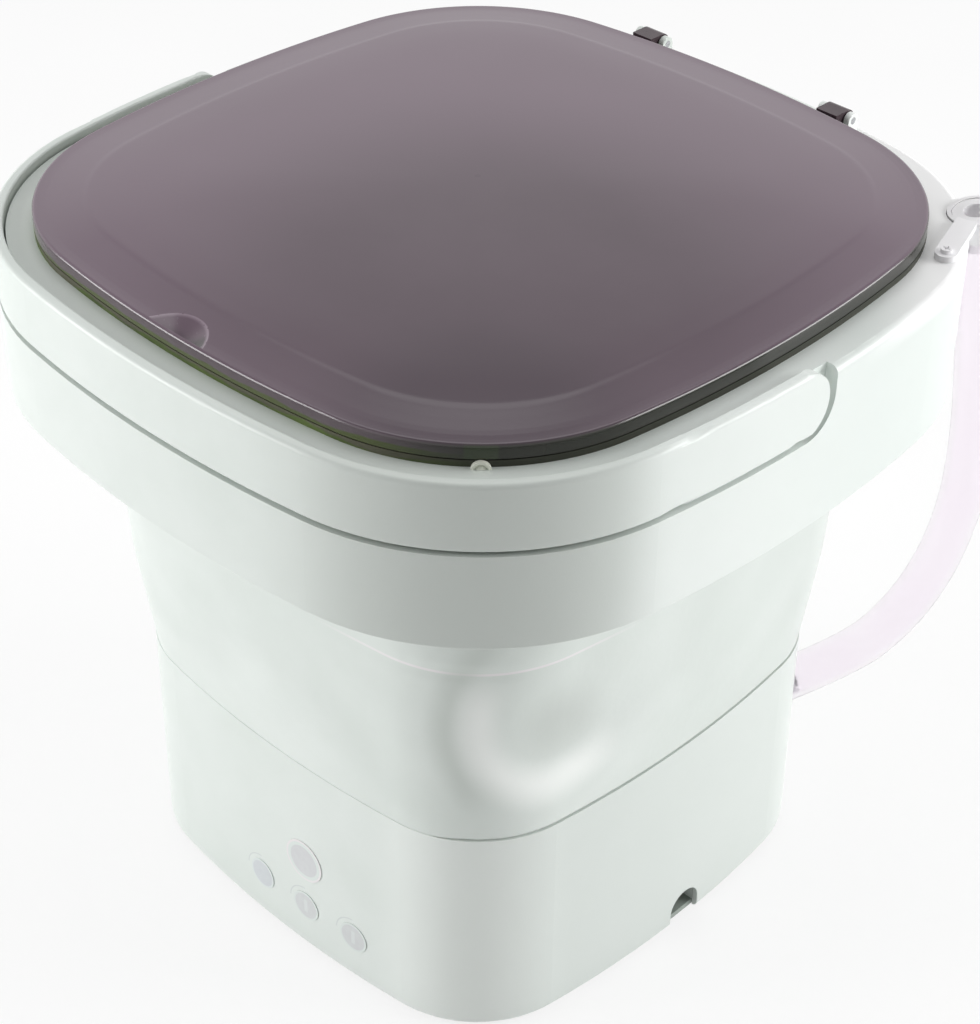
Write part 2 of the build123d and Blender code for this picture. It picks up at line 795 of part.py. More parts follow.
# Carrying strap: a bail whose round ends turn on stubs in the ring's recess
with BuildPart() as handle_strap:
    slab(ring_half, strap_bottom, strap_top)
    fillet(outer_loop(handle_strap, strap_top, ring_half), strap_round)
    fillet(outer_loop(handle_strap, strap_bottom, ring_half), strap_round)
    slab(strap_inner_half, strap_bottom, strap_top, mode=Mode.SUBTRACT)
    fillet(inner_loop(handle_strap, strap_top, strap_inner_half), strap_inner_round)
    with BuildSketch(Plane.YZ) as strap_side:
        with Locations((pivot_y - ring_half, pivot_z)):
            Rectangle(2 * ring_half, strap_height)
        with Locations((pivot_y, pivot_z)):
            Circle(pivot_reach)
    extrude(strap_side.sketch, amount=2 * ring_half, both=True, mode=Mode.INTERSECT)
    for side in (-1, 1):
        root = (side * (strap_inner_half + strap_thickness / 2), pivot_y, pivot_z)
        length = strap_thickness / 2 + strap_inner_half - recess_half + ring_wall + seat_gap
        tube_along(root, (-side, 0, 0), pivot_stub_radius, length)
        tube_along(root, (-side, 0, 0), small_hole_radius, length, Mode.SUBTRACT)
save(handle_strap.part, "handle_strap")

# Pivot caps: washer-headed screws that hold the strap's stubs from inside the ring
cap_face = recess_half - ring_wall - seat_gap
for name, side in (("left_pivot_cap", -1), ("right_pivot_cap", 1)):
    with BuildPart() as pivot_cap:
        tube_along((side * cap_face, pivot_y, pivot_z), (-side, 0, 0), pivot_cap_radius, pivot_cap_thickness)
        tube_along((side * cap_face, pivot_y, pivot_z), (side, 0, 0), small_screw_radius, pivot_screw_length)
    save(pivot_cap.part, name)

# Lid: domed panel with a skirt, finger dish and two hinge lugs


def lid_dome(inset, drop):
    # The lid's shallow dome as a loft through outlines
    shoulder = lid_half - lid_shoulder_inset - inset
    heights = [
        (shoulder, lid_edge_z - drop - lid_thickness / 4),
        (shoulder, lid_edge_z - drop),
        (lid_half - lid_panel_inset, lid_edge_z + lid_panel_rise - drop),
        (lid_half - lid_crown_inset, lid_edge_z + lid_crown_rise - drop),
    ]
    sections = []
    for half, height in heights:
        with BuildSketch(Plane.XY.offset(height)) as level:
            bowed_square(half)
        sections.append(level.sketch)
    return sections


finger_sphere = (finger_width**2 / 4 + finger_depth**2) / (2 * finger_depth)
finger_y = -(lid_half - finger_reach) - sqrt(finger_sphere**2 - (finger_sphere - finger_depth) ** 2)
with BuildPart() as lid:
    slab(lid_half, skirt_bottom, lid_edge_z)
    fillet(outer_loop(lid, lid_edge_z, lid_half), lid_edge_round)
    loft(lid_dome(0, 0), ruled=True)
    slab(lid_half - lid_skirt_wall, skirt_bottom, lid_edge_z - lid_thickness, mode=Mode.SUBTRACT)
    loft(lid_dome(lid_skirt_wall, lid_thickness), ruled=True, mode=Mode.SUBTRACT)
    with BuildSketch(Plane.XY.offset(skirt_bottom)) as dish_block:
        bowed_square(lid_half - lid_skirt_wall / 2)
        with Locations((finger_x, -lid_half)):
            rim = 2 * lid_skirt_wall
            Rectangle(finger_width + rim, 2 * finger_reach + rim, mode=Mode.INTERSECT)
    extrude(dish_block.sketch, amount=lid_edge_z - lid_thickness / 2 - skirt_bottom)
    with Locations((finger_x, finger_y, lid_edge_z - finger_depth + finger_sphere)):
        Sphere(finger_sphere, mode=Mode.SUBTRACT)
    for x in (-lug_x, lug_x):
        with BuildSketch(Plane.YZ.offset(x - lug_width / 2)) as lug:
            with Locations((hinge_y, hinge_z)):
                Circle(lug_radius)
            with Locations((hinge_y, hinge_z)):
                Rectangle(hinge_y - lid_half + 4 * lid_skirt_wall, lug_radius, align=(Align.MAX, Align.MIN))
        extrude(lug.sketch, amount=lug_width)
        lug_bore = hinge_pin_radius + running_gap
        tube_along((x - lug_width, hinge_y, hinge_z), (1, 0, 0), lug_bore, 2 * lug_width, Mode.SUBTRACT)
save(lid.part, "lid")

# Hinge pins, pressed into the ring's ears
pin_length = lug_width + 2 * lug_gap + 2 * ear_width
for name, x in (("left_hinge_pin", -lug_x), ("right_hinge_pin", lug_x)):
    with BuildPart() as hinge_pin:
        tube_along((x - pin_length / 2, hinge_y, hinge_z), (1, 0, 0), hinge_pin_radius, pin_length)
    save(hinge_pin.part, name)

# Seal on the deck, under the lid's skirt
with BuildPart() as lid_seal:
    band(lid_half, lid_half - seal_width, deck_top, seal_top)
save(lid_seal.part, "lid_seal")

# Touch keys, let into the front of the base
for name, (x, z, radius) in key_spots.items():
    with BuildPart() as key:
        with BuildSketch(front_plane(x, z).offset(-key_pocket_depth)) as face:
            Circle(radius)
        extrude(face.sketch, amount=key_thickness)
    save(key.part, name)

# Touch pads between the board and the wall behind each key
with BuildPart() as touch_pads:
    with BuildSketch(Plane.XZ.offset(-board_front)) as pads:
        with Locations(*[(x, z) for x, z, radius in key_spots.values()]):
            Circle(touch_pad_radius)
    extrude(pads.sketch, amount=board_standoff)
    band(base_half, housing_inner - seat_gap, cover_top, base_top, mode=Mode.SUBTRACT)
save(touch_pads.part, "touch_pads")

# Control board with its larger components
with BuildPart() as control_board:
    with BuildSketch(Plane.XZ.offset(-board_front)) as board:
        with Locations((board_x, board_z)):
            Rectangle(board_width, board_height)
        with Locations(*board_spots):
            Circle(small_hole_radius, mode=Mode.SUBTRACT)
    extrude(board.sketch, amount=-board_thickness)
    board_back = Plane.XZ.offset(-board_front - board_thickness)
    with BuildSketch(board_back) as chips:
        with Locations((board_x - chip_size, board_z)):
            with GridLocations(2 * chip_size, 0, 2, 1):
                Rectangle(chip_size, chip_size)
    extrude(chips.sketch, amount=-chip_height)
    with BuildSketch(board_back) as capacitors:
        with Locations((board_x + 2 * chip_size, board_z)):
            with GridLocations(0, 3 * capacitor_radius, 1, 2):
                Circle(capacitor_radius)
    extrude(capacitors.sketch, amount=-capacitor_height)
    with BuildSketch(board_back) as connectors:
        with Locations((board_x, board_z - board_height / 2 + connector_height)):
            with GridLocations(2 * connector_length, 0, 2, 1):
                Rectangle(connector_length, connector_height)
    extrude(connectors.sketch, amount=-connector_height)
save(control_board.part, "control_board")

with BuildPart() as board_screws:
    with BuildSketch(board_back) as shanks:
        with Locations(*board_spots):
            Circle(small_screw_radius)
    extrude(shanks.sketch, amount=board_thickness + board_standoff - 3 * screw_wall)
    with BuildSketch(board_back) as heads:
        with Locations(*board_spots):
            Circle(small_screw_head_radius)
    extrude(heads.sketch, amount=-small_screw_head_height)
save(board_screws.part, "board_screws")

# Power inlet, standing on the cover behind the notch
inlet_front = housing_inner - inlet_setback
with BuildPart() as power_inlet:
    with BuildSketch(Plane.XY.offset(cover_top)) as body:
        with Locations((inlet_front, notch_y)):
            Rectangle(inlet_depth, inlet_width, align=(Align.MAX, Align.CENTER))
    extrude(body.sketch, amount=inlet_height)
    socket_centre = (inlet_front, notch_y, cover_top + inlet_height / 2)
    tube_along(socket_centre, (-1, 0, 0), socket_radius, socket_depth, Mode.SUBTRACT)
    tube_along(socket_centre, (-1, 0, 0), socket_pin_radius, socket_depth + screw_wall)
save(power_inlet.part, "power_inlet")


def tooth_half_angle(radius, pitch_radius, teeth):
    # Half the angle of an involute tooth at a radius
    base_radius = pitch_radius * cos(radians(pressure_angle))
    slope = acos(min(1, base_radius / radius))
    pitch_slope = radians(pressure_angle)
    at_pitch = pi / (2 * teeth) - tooth_backlash / (4 * pitch_radius)
    return at_pitch + tan(pitch_slope) - pitch_slope - tan(slope) + slope


def gear_outline(module, teeth, centre_x, first_angle):
    # An involute gear's outline in the sketch that is open, with a tooth at the first angle
    pitch_radius = module * teeth / 2
    base_radius = pitch_radius * cos(radians(pressure_angle))
    tip_radius = pitch_radius + tooth_addendum * module
    root_radius = pitch_radius - tooth_dedendum * module
    flank_start = max(base_radius, root_radius)
    flank = [flank_start + (tip_radius - flank_start) * step / flank_steps for step in range(flank_steps + 1)]
    rising = [(radius, -tooth_half_angle(radius, pitch_radius, teeth)) for radius in flank]
    if root_radius < flank_start:
        rising.insert(0, (root_radius, rising[0][1]))
    falling = [(radius, -angle) for radius, angle in reversed(rising)]
    points = []
    for tooth in range(teeth):
        middle = radians(first_angle) + 2 * pi * tooth / teeth
        for radius, angle in rising + falling:
            points.append((centre_x + radius * cos(middle + angle), radius * sin(middle + angle)))
    with BuildLine() as outline:
        Polyline(*points, close=True)
    make_face(outline.edges())


# Meshing angles: a tooth of each driver points at a gap of the gear it drives
half_wheel_pitch = 180 / wheel_teeth

with BuildPart() as output_gear:
    with BuildSketch(Plane.XY.offset(output_gear_bottom)) as teeth:
        gear_outline(second_module, wheel_teeth, 0, 180 - half_wheel_pitch)
    extrude(teeth.sketch, amount=output_gear_width)
    rods([(0, 0)], gear_hub_radius, lower_bearing_top + seat_gap, output_gear_bottom)
    rods([(0, 0)], bearing_bore + press_gap, lower_bearing_top, output_gear_top, Mode.SUBTRACT)
save(output_gear.part, "output_gear")

with BuildPart() as reduction_gear:
    with BuildSketch(Plane.XY.offset(wheel_bottom)) as wheel:
        gear_outline(first_module, wheel_teeth, idler_x, 180 - half_wheel_pitch)
    extrude(wheel.sketch, amount=wheel_width)
    with BuildSketch(Plane.XY.offset(wheel_top)) as pinion:
        gear_outline(second_module, pinion_teeth, idler_x, 0)
    extrude(pinion.sketch, amount=output_gear_top + seat_gap - wheel_top)
    rods([(idler_x, 0)], idler_pin_radius + hole_gap, wheel_bottom, output_gear_top + seat_gap, Mode.SUBTRACT)
save(reduction_gear.part, "reduction_gear")

pinion_bottom = wheel_bottom - seat_gap
pinion_top = pinion_bottom + pinion_width
with BuildPart() as motor_pinion:
    with BuildSketch(Plane.XY.offset(pinion_bottom)) as teeth:
        gear_outline(first_module, pinion_teeth, motor_x, 0)
    extrude(teeth.sketch, amount=pinion_width)
    rods([(motor_x, 0)], motor_shaft_radius + press_gap, pinion_bottom, pinion_top, Mode.SUBTRACT)
save(motor_pinion.part, "motor_pinion")

# Fixed pin of the compound gear
idler_pin_bottom = gearbox_bottom + screw_wall
idler_pin_top = cover_seat + screw_wall
with BuildPart() as idler_pin:
    rods([(idler_x, 0)], idler_pin_radius, idler_pin_bottom, idler_pin_top)
save(idler_pin.part, "idler_pin")


def gearbox_shape(shrink):
    # The gearbox case's plan, a hull round the output gear and the motor's end
    with BuildSketch(mode=Mode.PRIVATE) as plan:
        Circle(gearbox_head_radius - shrink)
        with Locations((motor_x, 0)):
            Circle(gearbox_motor_end_radius - shrink)
        make_hull()
    return plan.sketch


# Gearbox tray, hung under the tub with the motor below it
with BuildPart() as gearbox_tray:
    with BuildSketch(Plane.XY.offset(gearbox_bottom)) as outside:
        add(gearbox_shape(0))
        with Locations(*gearbox_spots):
            Circle(gearbox_ear_radius)
    extrude(outside.sketch, amount=cover_seat - gearbox_bottom)
    with BuildSketch(Plane.XY.offset(case_floor)) as inside:
        add(gearbox_shape(gearbox_wall))
    extrude(inside.sketch, amount=cover_seat - case_floor, mode=Mode.SUBTRACT)
    rods([(0, 0)], bearing_radius + bearing_seat_wall, case_floor, lower_bearing_top)
    rods([(0, 0)], bearing_radius + press_gap, case_floor, lower_bearing_top, Mode.SUBTRACT)
    rods([(0, 0)], bearing_radius - race_step, case_floor - race_recess, case_floor, Mode.SUBTRACT)
    rods([(idler_x, 0)], idler_boss_radius, case_floor, idler_boss_top)
    rods([(idler_x, 0)], idler_pin_radius + press_gap, idler_pin_bottom, idler_boss_top, Mode.SUBTRACT)
    rods([(motor_x, 0)], motor_nose_radius + hole_gap, gearbox_bottom, case_floor, Mode.SUBTRACT)
    motor_screw_spots = [(motor_x, -motor_screw_spread), (motor_x, motor_screw_spread)]
    rods(motor_screw_spots, small_hole_radius, gearbox_bottom, case_floor, Mode.SUBTRACT)
    rods(gearbox_spots, screw_hole_radius, gearbox_bottom, cover_seat, Mode.SUBTRACT)
save(gearbox_tray.part, "gearbox_tray")

# Gearbox cover, clamped between the tray and the tub's bosses
with BuildPart() as gearbox_cover:
    with BuildSketch(Plane.XY.offset(cover_seat)) as outside:
        add(gearbox_shape(0))
        with Locations(*gearbox_spots):
            Circle(gearbox_ear_radius)
    extrude(outside.sketch, amount=gearbox_cover_thickness)
    boss_bottom = cover_seat - idler_boss_height
    rods([(idler_x, 0)], idler_boss_radius, boss_bottom, cover_seat)
    rods([(idler_x, 0)], idler_pin_radius + press_gap, boss_bottom, idler_pin_top, Mode.SUBTRACT)
    rods([(0, 0)], bearing_radius - race_step, cover_seat, cover_plate_top, Mode.SUBTRACT)
    rods(gearbox_spots, screw_hole_radius, cover_seat, cover_plate_top, Mode.SUBTRACT)
save(gearbox_cover.part, "gearbox_cover")

with BuildPart() as gearbox_screws:
    screws(
        gearbox_spots,
        cover_plate_top + gearbox_screw_grip,
        gearbox_bottom,
        screw_radius,
        screw_head_radius,
        screw_head_height,
    )
save(gearbox_screws.part, "gearbox_screws")


def ball_bearing(bottom):
    # A shielded ball bearing as two races and the shield ring between them
    with BuildSketch(Plane.XY.offset(bottom)) as rings:
        Circle(bearing_radius)
        Circle(bearing_bore + press_gap, mode=Mode.SUBTRACT)
    extrude(rings.sketch, amount=bearing_width)
    with BuildSketch(Plane.XY.offset(bottom)) as grooves:
        Circle(bearing_radius - race_step)
        Circle(bearing_bore + race_step, mode=Mode.SUBTRACT)
    extrude(grooves.sketch, amount=race_recess, mode=Mode.SUBTRACT)
    upper_grooves = grooves.sketch.moved(Location((0, 0, bearing_width - race_recess)))
    extrude(upper_grooves, amount=race_recess, mode=Mode.SUBTRACT)


with BuildPart() as lower_bearing:
    ball_bearing(case_floor)
save(lower_bearing.part, "lower_bearing")

with BuildPart() as upper_bearing:
    ball_bearing(upper_bearing_bottom)
save(upper_bearing.part, "upper_bearing")

# Shaft seal in the top of the tub's hub
with BuildPart() as shaft_seal:
    rods([(0, 0)], seal_radius, seal_bottom, seal_bottom + shaft_seal_width)
    rods([(0, 0)], bearing_bore + hole_gap, seal_bottom, seal_bottom + shaft_seal_width, Mode.SUBTRACT)
save(shaft_seal.part, "shaft_seal")

# Motor can with its nose in the gearbox floor
motor_bottom = gearbox_bottom - motor_length
with BuildPart() as motor_case:
    rods([(motor_x, 0)], motor_radius, motor_bottom, gearbox_bottom)
    rods([(motor_x, 0)], motor_radius - can_wall, motor_bottom, gearbox_bottom - can_wall, Mode.SUBTRACT)
    rods([(motor_x, 0)], motor_nose_radius, gearbox_bottom, gearbox_bottom + motor_nose_height)
    rods(
        [(motor_x, 0)],
        motor_shaft_radius + hole_gap,
        gearbox_bottom - can_wall,
        gearbox_bottom + motor_nose_height,
        Mode.SUBTRACT,
    )
    rods(motor_screw_spots, small_hole_radius, gearbox_bottom - can_wall, gearbox_bottom, Mode.SUBTRACT)
save(motor_case.part, "motor_case")

with BuildPart() as motor_screws:
    screws(
        motor_screw_spots,
        gearbox_bottom - can_wall,
        case_floor,
        small_screw_radius,
        small_screw_head_radius,
        small_screw_head_height,
    )
save(motor_screws.part, "motor_screws")

shaft_bottom = motor_bottom - end_bell_boss + screw_wall
with BuildPart() as motor_end_bell:
    rods([(motor_x, 0)], motor_radius - can_wall - press_gap, motor_bottom, motor_bottom + end_bell_thickness)
    rods([(motor_x, 0)], motor_nose_radius, motor_bottom - end_bell_boss, motor_bottom)
    bell_top = motor_bottom + end_bell_thickness
    rods([(motor_x, 0)], motor_shaft_radius + hole_gap, shaft_bottom, bell_top, Mode.SUBTRACT)
save(motor_end_bell.part, "motor_end_bell")

# Field magnets inside the can, and the rotor between them
magnet_outer = motor_radius - can_wall - press_gap
magnet_top = gearbox_bottom - 2 * can_wall
magnet_middle = magnet_top - magnet_length / 2
with BuildPart() as motor_magnets:
    with BuildSketch(Plane.XY.offset(magnet_top - magnet_length)) as arcs:
        with Locations((motor_x, 0)):
            Circle(magnet_outer)
            Circle(magnet_outer - magnet_thickness, mode=Mode.SUBTRACT)
            for rotation in (0, 180):
                gap_angle = 180 - magnet_angle
                corners = [(0, 0)]
                for angle in (90 + rotation - gap_angle / 2, 90 + rotation + gap_angle / 2):
                    corner = Vector(2 * motor_radius, 0).rotate(Axis.Z, angle)
                    corners.append((corner.X, corner.Y))
                Polygon(*corners, align=None, mode=Mode.SUBTRACT)
    extrude(arcs.sketch, amount=magnet_length)
save(motor_magnets.part, "motor_magnets")

core_radius = magnet_outer - magnet_thickness - air_gap
core_bottom = magnet_middle - core_length / 2
with BuildPart() as rotor_core:
    with BuildSketch(Plane.XY.offset(core_bottom)) as lamination:
        with Locations((motor_x, 0)):
            Circle(core_radius)
            with PolarLocations(core_radius - core_slot_depth / 2, core_slots):
                Rectangle(core_slot_depth + core_slot_width, core_slot_width, mode=Mode.SUBTRACT)
    extrude(lamination.sketch, amount=core_length)
    rods([(motor_x, 0)], commutator_radius, core_bottom - commutator_length, core_bottom)
    rods([(motor_x, 0)], motor_shaft_radius + press_gap, 0, gearbox_bottom, Mode.SUBTRACT)
save(rotor_core.part, "rotor_core")

with BuildPart() as rotor_shaft:
    rods([(motor_x, 0)], motor_shaft_radius, shaft_bottom + seat_gap, pinion_top)
save(rotor_shaft.part, "rotor_shaft")

# Output shaft with a square drive, up through the hub into the pulsator
drive_bottom = pulsator_bottom + 5.0
drive_top = drive_bottom + shaft_drive_length
with BuildPart() as output_shaft:
    rods([(0, 0)], bearing_bore, case_floor, drive_bottom)
    with BuildSketch(Plane.XY.offset(drive_bottom)) as square_end:
        Rectangle(shaft_drive_size, shaft_drive_size)
    extrude(square_end.sketch, amount=shaft_drive_length)
    rods(
        [(0, 0)],
        pulsator_screw_radius + hole_gap,
        drive_top - pulsator_screw_length,
        drive_top,
        Mode.SUBTRACT,
    )
save(output_shaft.part, "output_shaft")

# Pulsator: a shallow dish with a hub, four vanes and a ring of water holes
pulsator_top = pulsator_bottom + pulsator_hub_rise
with BuildPart() as pulsator:
    with BuildSketch(Plane.XZ) as half_section:
        with BuildLine():
            Polyline(
                (0, drive_bottom),
                (pulsator_hub_radius - 1, drive_bottom),
                (pulsator_hub_radius + 2, pulsator_bottom + pulsator_edge),
                (pulsator_slope_radius, pulsator_bottom + pulsator_edge),
                (pulsator_radius - pulsator_edge, pulsator_bottom),
                (pulsator_radius, pulsator_bottom),
                (pulsator_radius, pulsator_bottom + pulsator_edge),
                (pulsator_slope_radius, pulsator_bottom + pulsator_slope_rise),
                (pulsator_hub_radius, pulsator_top),
                (0, pulsator_top),
                close=True,
            )
        make_face()
    revolve(axis=Axis.Z)
    with BuildSketch(Plane.XY.offset(pulsator_bottom + 2 * pulsator_edge)) as vanes:
        with PolarLocations(vane_centre_radius, vane_count):
            SlotOverall(vane_length, vane_width)
    extrude(vanes.sketch, amount=vane_rise - pulsator_edge, taper=vane_taper)
    with PolarLocations(pulsator_hole_ring, pulsator_hole_count):
        with Locations((0, 0, pulsator_bottom)):
            Cylinder(pulsator_hole_radius, 6 * pulsator_edge, mode=Mode.SUBTRACT)
    with BuildSketch(Plane.XY.offset(drive_bottom)) as square_hole:
        Rectangle(shaft_drive_size + 2 * hole_gap, shaft_drive_size + 2 * hole_gap)
    extrude(square_hole.sketch, amount=shaft_drive_length + seat_gap, mode=Mode.SUBTRACT)
    rods([(0, 0)], pulsator_screw_radius + 2 * hole_gap, drive_top, pulsator_top, Mode.SUBTRACT)
    rods(
        [(0, 0)],
        pulsator_screw_head_radius + hole_gap,
        pulsator_top - pulsator_screw_head_height,
        pulsator_top,
        Mode.SUBTRACT,
    )
save(pulsator.part, "pulsator")

with BuildPart() as pulsator_screw:
    screws(
        [(0, 0)],
        drive_top - pulsator_screw_length + screw_wall,
        pulsator_top - pulsator_screw_head_height,
        pulsator_screw_radius,
        pulsator_screw_head_radius,
        pulsator_screw_head_height,
    )
save(pulsator_screw.part, "pulsator_screw")

# Drain grate in the tub floor
with BuildPart() as drain_grate:
    rods([drain_spot], grate_radius, tub_floor_top, tub_floor_top + grate_thickness)
    rods([drain_spot], drain_hole_radius - hole_gap, tub_floor_bottom + seat_gap, tub_floor_top)
    rods([drain_spot], drain_hole_radius - elbow_wall, tub_floor_bottom, tub_floor_top, Mode.SUBTRACT)
    with BuildSketch(Plane.XY.offset(tub_floor_top)) as holes:
        with Locations(drain_spot):
            Circle(grate_hole_radius)
            with PolarLocations(grate_hole_ring, grate_hole_count):
                Circle(grate_hole_radius)
    extrude(holes.sketch, amount=grate_thickness, mode=Mode.SUBTRACT)
save(drain_grate.part, "drain_grate")

# Drain elbow under the floor, towards the back right corner
drain_point = Vector(drain_spot[0], drain_spot[1], outlet_z)
elbow_length = corner_reach(tub_outer) - elbow_inset - drain_reach
sump_bottom = outlet_z - elbow_sump
with BuildPart() as drain_elbow:
    rods([drain_spot], drain_hole_radius + elbow_wall, sump_bottom, tub_floor_bottom)
    rods([drain_spot], elbow_flange_radius, tub_floor_bottom - elbow_flange_thickness, tub_floor_bottom)
    tube_along(drain_point, diagonal, elbow_radius, elbow_length)
    rods([drain_spot], drain_hole_radius, sump_bottom + elbow_wall, tub_floor_bottom, Mode.SUBTRACT)
    tube_along(drain_point, diagonal, elbow_radius - elbow_wall, elbow_length, Mode.SUBTRACT)
save(drain_elbow.part, "drain_elbow")

# Outlet spigot: plug in the elbow, bend, shoulder and barb for the hose's lower end
plug_start = diagonal * (drain_reach + elbow_length - spigot_plug_length) + Vector(0, 0, outlet_z)
outlet_bend = hose_points[0] - outlet_direction * ((hose_points[0].Z - outlet_z) / outlet_direction.Z)
plug_radius = elbow_radius - elbow_wall - hole_gap
barb_radius = hose_bore_radius - hole_gap
bend_reach = barb_radius * outlet_direction.Z
plug_run = (outlet_bend - plug_start).length
barb_run = (hose_points[0] - outlet_bend).length + spigot_barb_length
with BuildPart() as drain_spigot:
    tube_along(plug_start, diagonal, plug_radius, plug_run + bend_reach)
    tube_along(outlet_bend, outlet_direction, barb_radius, barb_run)
    tube_along(hose_points[0], -outlet_direction, spigot_shoulder_radius, spigot_shoulder_length)
    tube_along(plug_start, diagonal, spigot_bore_radius, plug_run, Mode.SUBTRACT)
    tube_along(
        outlet_bend - outlet_direction * bend_reach / 2,
        outlet_direction,
        barb_bore_radius,
        barb_run + bend_reach / 2,
        Mode.SUBTRACT,
    )
save(drain_spigot.part, "drain_spigot")

# Hose: a tube along its route, with arcs as large as its runs allow
runs = [(b - a).length for a, b in zip(hose_points, hose_points[1:])]
turns = [(b - a).get_angle(c - b) for a, b, c in zip(hose_points, hose_points[1:], hose_points[2:])]
radii = [0.45 * min(pair) / tan(radians(turn / 2)) for pair, turn in zip(zip(runs, runs[1:]), turns)]
with BuildPart() as drain_hose:
    with BuildLine() as hose_path:
        FilletPolyline(*hose_points, radius=radii)
    start_plane = Plane(origin=hose_points[0], z_dir=hose_points[1] - hose_points[0])
    with BuildSketch(start_plane) as hose_section:
        Circle(hose_radius)
        Circle(hose_bore_radius, mode=Mode.SUBTRACT)
    sweep(hose_section.sketch, path=hose_path.wire())
print("hose bend radii", [round(radius, 1) for radius in radii])
print("hose length", round(hose_path.wire().length, 1))
hose_area = pi * (hose_radius**2 - hose_bore_radius**2)
print("hose volume", round(drain_hose.part.volume), "of", round(hose_area * hose_path.wire().length))
save(drain_hose.part, "drain_hose")

# Nozzle in the hose's upper end
with BuildPart() as hose_nozzle:
    tube_along(hose_end, hose_end_direction, hose_radius, nozzle_flange)
    tube_along(hose_end, -hose_end_direction, hose_bore_radius - hole_gap, nozzle_plug_length)
    tube_along(
        hose_end - hose_end_direction * nozzle_plug_length,
        hose_end_direction,
        nozzle_bore_radius,
        nozzle_plug_length + nozzle_flange,
        Mode.SUBTRACT,
    )
save(hose_nozzle.part, "hose_nozzle")

# Hook on the ring's deck that holds the hose's upper end
hook_arm_end = corner_spot(ring_half - hook_arm_inset, hook_arm_angle)
hook_start = hose_end + hose_end_direction * (hook_rise - hook_length)
hook_outer_radius = hose_radius + hook_gap + hook_wall
with BuildPart() as hose_hook:
    with BuildSketch(Plane.XY.offset(deck_top)) as arm:
        with Locations(hook_pad):
            Circle(hook_pad_radius)
        with Locations(hook_arm_end):
            Circle(hook_arm_radius)
        make_hull()
    extrude(arm.sketch, amount=hook_arm_thickness)
    tube_along(hook_start, hose_end_direction, hook_outer_radius, hook_length)
    with BuildSketch(Plane(origin=hook_start, x_dir=diagonal, z_dir=hose_end_direction)) as mouth:
        lip_x = 4 * hook_outer_radius * cos(radians(hook_mouth / 2))
        lip_y = 4 * hook_outer_radius * sin(radians(hook_mouth / 2))
        Polygon((0, 0), (lip_x, -lip_y), (lip_x, lip_y), align=None)
    extrude(mouth.sketch, amount=hook_length, mode=Mode.SUBTRACT)
    tube_along(
        hose_end - hose_end_direction * 2 * ring_height,
        hose_end_direction,
        hose_radius + hook_gap,
        3 * ring_height,
        Mode.SUBTRACT,
    )
    rods([hook_pad], small_hole_radius, deck_top, deck_top + hook_arm_thickness, Mode.SUBTRACT)
save(hose_hook.part, "hose_hook")

with BuildPart() as hook_screw:
    screws(
        [hook_pad],
        deck_bottom + seat_gap,
        deck_top + hook_arm_thickness,
        small_screw_radius,
        small_screw_head_radius,
        small_screw_head_height,
    )
save(hook_screw.part, "hook_screw")
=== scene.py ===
import bpy
import bmesh
from math import cos, exp, pi, radians, sin, sqrt
from mathutils import Matrix, Vector


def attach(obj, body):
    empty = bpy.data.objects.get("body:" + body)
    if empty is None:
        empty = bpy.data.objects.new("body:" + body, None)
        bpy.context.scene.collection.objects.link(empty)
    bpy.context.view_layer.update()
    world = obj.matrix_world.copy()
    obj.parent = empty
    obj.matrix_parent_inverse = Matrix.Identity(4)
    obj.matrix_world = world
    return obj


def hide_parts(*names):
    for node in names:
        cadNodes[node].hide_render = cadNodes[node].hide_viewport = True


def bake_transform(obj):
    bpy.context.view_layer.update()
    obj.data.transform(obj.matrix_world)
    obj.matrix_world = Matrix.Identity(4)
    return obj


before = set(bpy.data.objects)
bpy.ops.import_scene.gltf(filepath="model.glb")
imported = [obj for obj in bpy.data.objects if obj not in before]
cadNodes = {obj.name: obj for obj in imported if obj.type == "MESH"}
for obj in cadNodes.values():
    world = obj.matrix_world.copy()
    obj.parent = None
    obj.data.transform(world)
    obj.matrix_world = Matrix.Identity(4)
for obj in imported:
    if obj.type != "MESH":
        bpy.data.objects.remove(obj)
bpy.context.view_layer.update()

mm = 0.001


def tone(red, green, blue):  # a screen colour as the linear one that Blender wants
    steps = [value / 255 for value in (red, green, blue)]
    return tuple(v / 12.92 if v < 0.04045 else ((v + 0.055) / 1.055) ** 2.4 for v in steps) + (1,)


# camera, found from the outlines of the ring, lid, strap and base
cameraView = {
    "place": (0.5661, -0.5707, 0.7403),
    "forward": (-0.5701, 0.5747, -0.5871),
    "roll": 0.007,
    "lens": 90.19,
    "sensor": 36,
    "shiftX": 0.0117,
    "shiftY": -0.0004,
}


def addCamera():
    forward = Vector(cameraView["forward"]).normalized()
    right = forward.cross(Vector((0, 0, 1))).normalized()
    up = right.cross(forward)
    roll = cameraView["roll"]
    across = right * cos(roll) + up * sin(roll)
    upward = up * cos(roll) - right * sin(roll)
    cameraData = bpy.data.cameras.new("photoCamera")
    cameraData.lens = cameraView["lens"]
    cameraData.sensor_fit = "HORIZONTAL"
    cameraData.sensor_width = cameraView["sensor"]
    cameraData.shift_x = cameraView["shiftX"]
    cameraData.shift_y = cameraView["shiftY"]
    cameraData.clip_end = 20
    camera = bpy.data.objects.new("photoCamera", cameraData)
    bpy.context.scene.collection.objects.link(camera)
    turn = Matrix((across, upward, -forward)).transposed().to_4x4()
    camera.matrix_world = Matrix.Translation(Vector(cameraView["place"])) @ turn
    bpy.context.scene.camera = camera


addCamera()
print("camera placed")

# plan shape that every ring of the machine runs parallel to, in millimetres
planShape = {
    "half": 160.0,
    "sideRadius": 530.0,
    "cornerRadius": 96.0,
    "sideTurn": 7.93,
    "smallestHalf": 84.0,
}


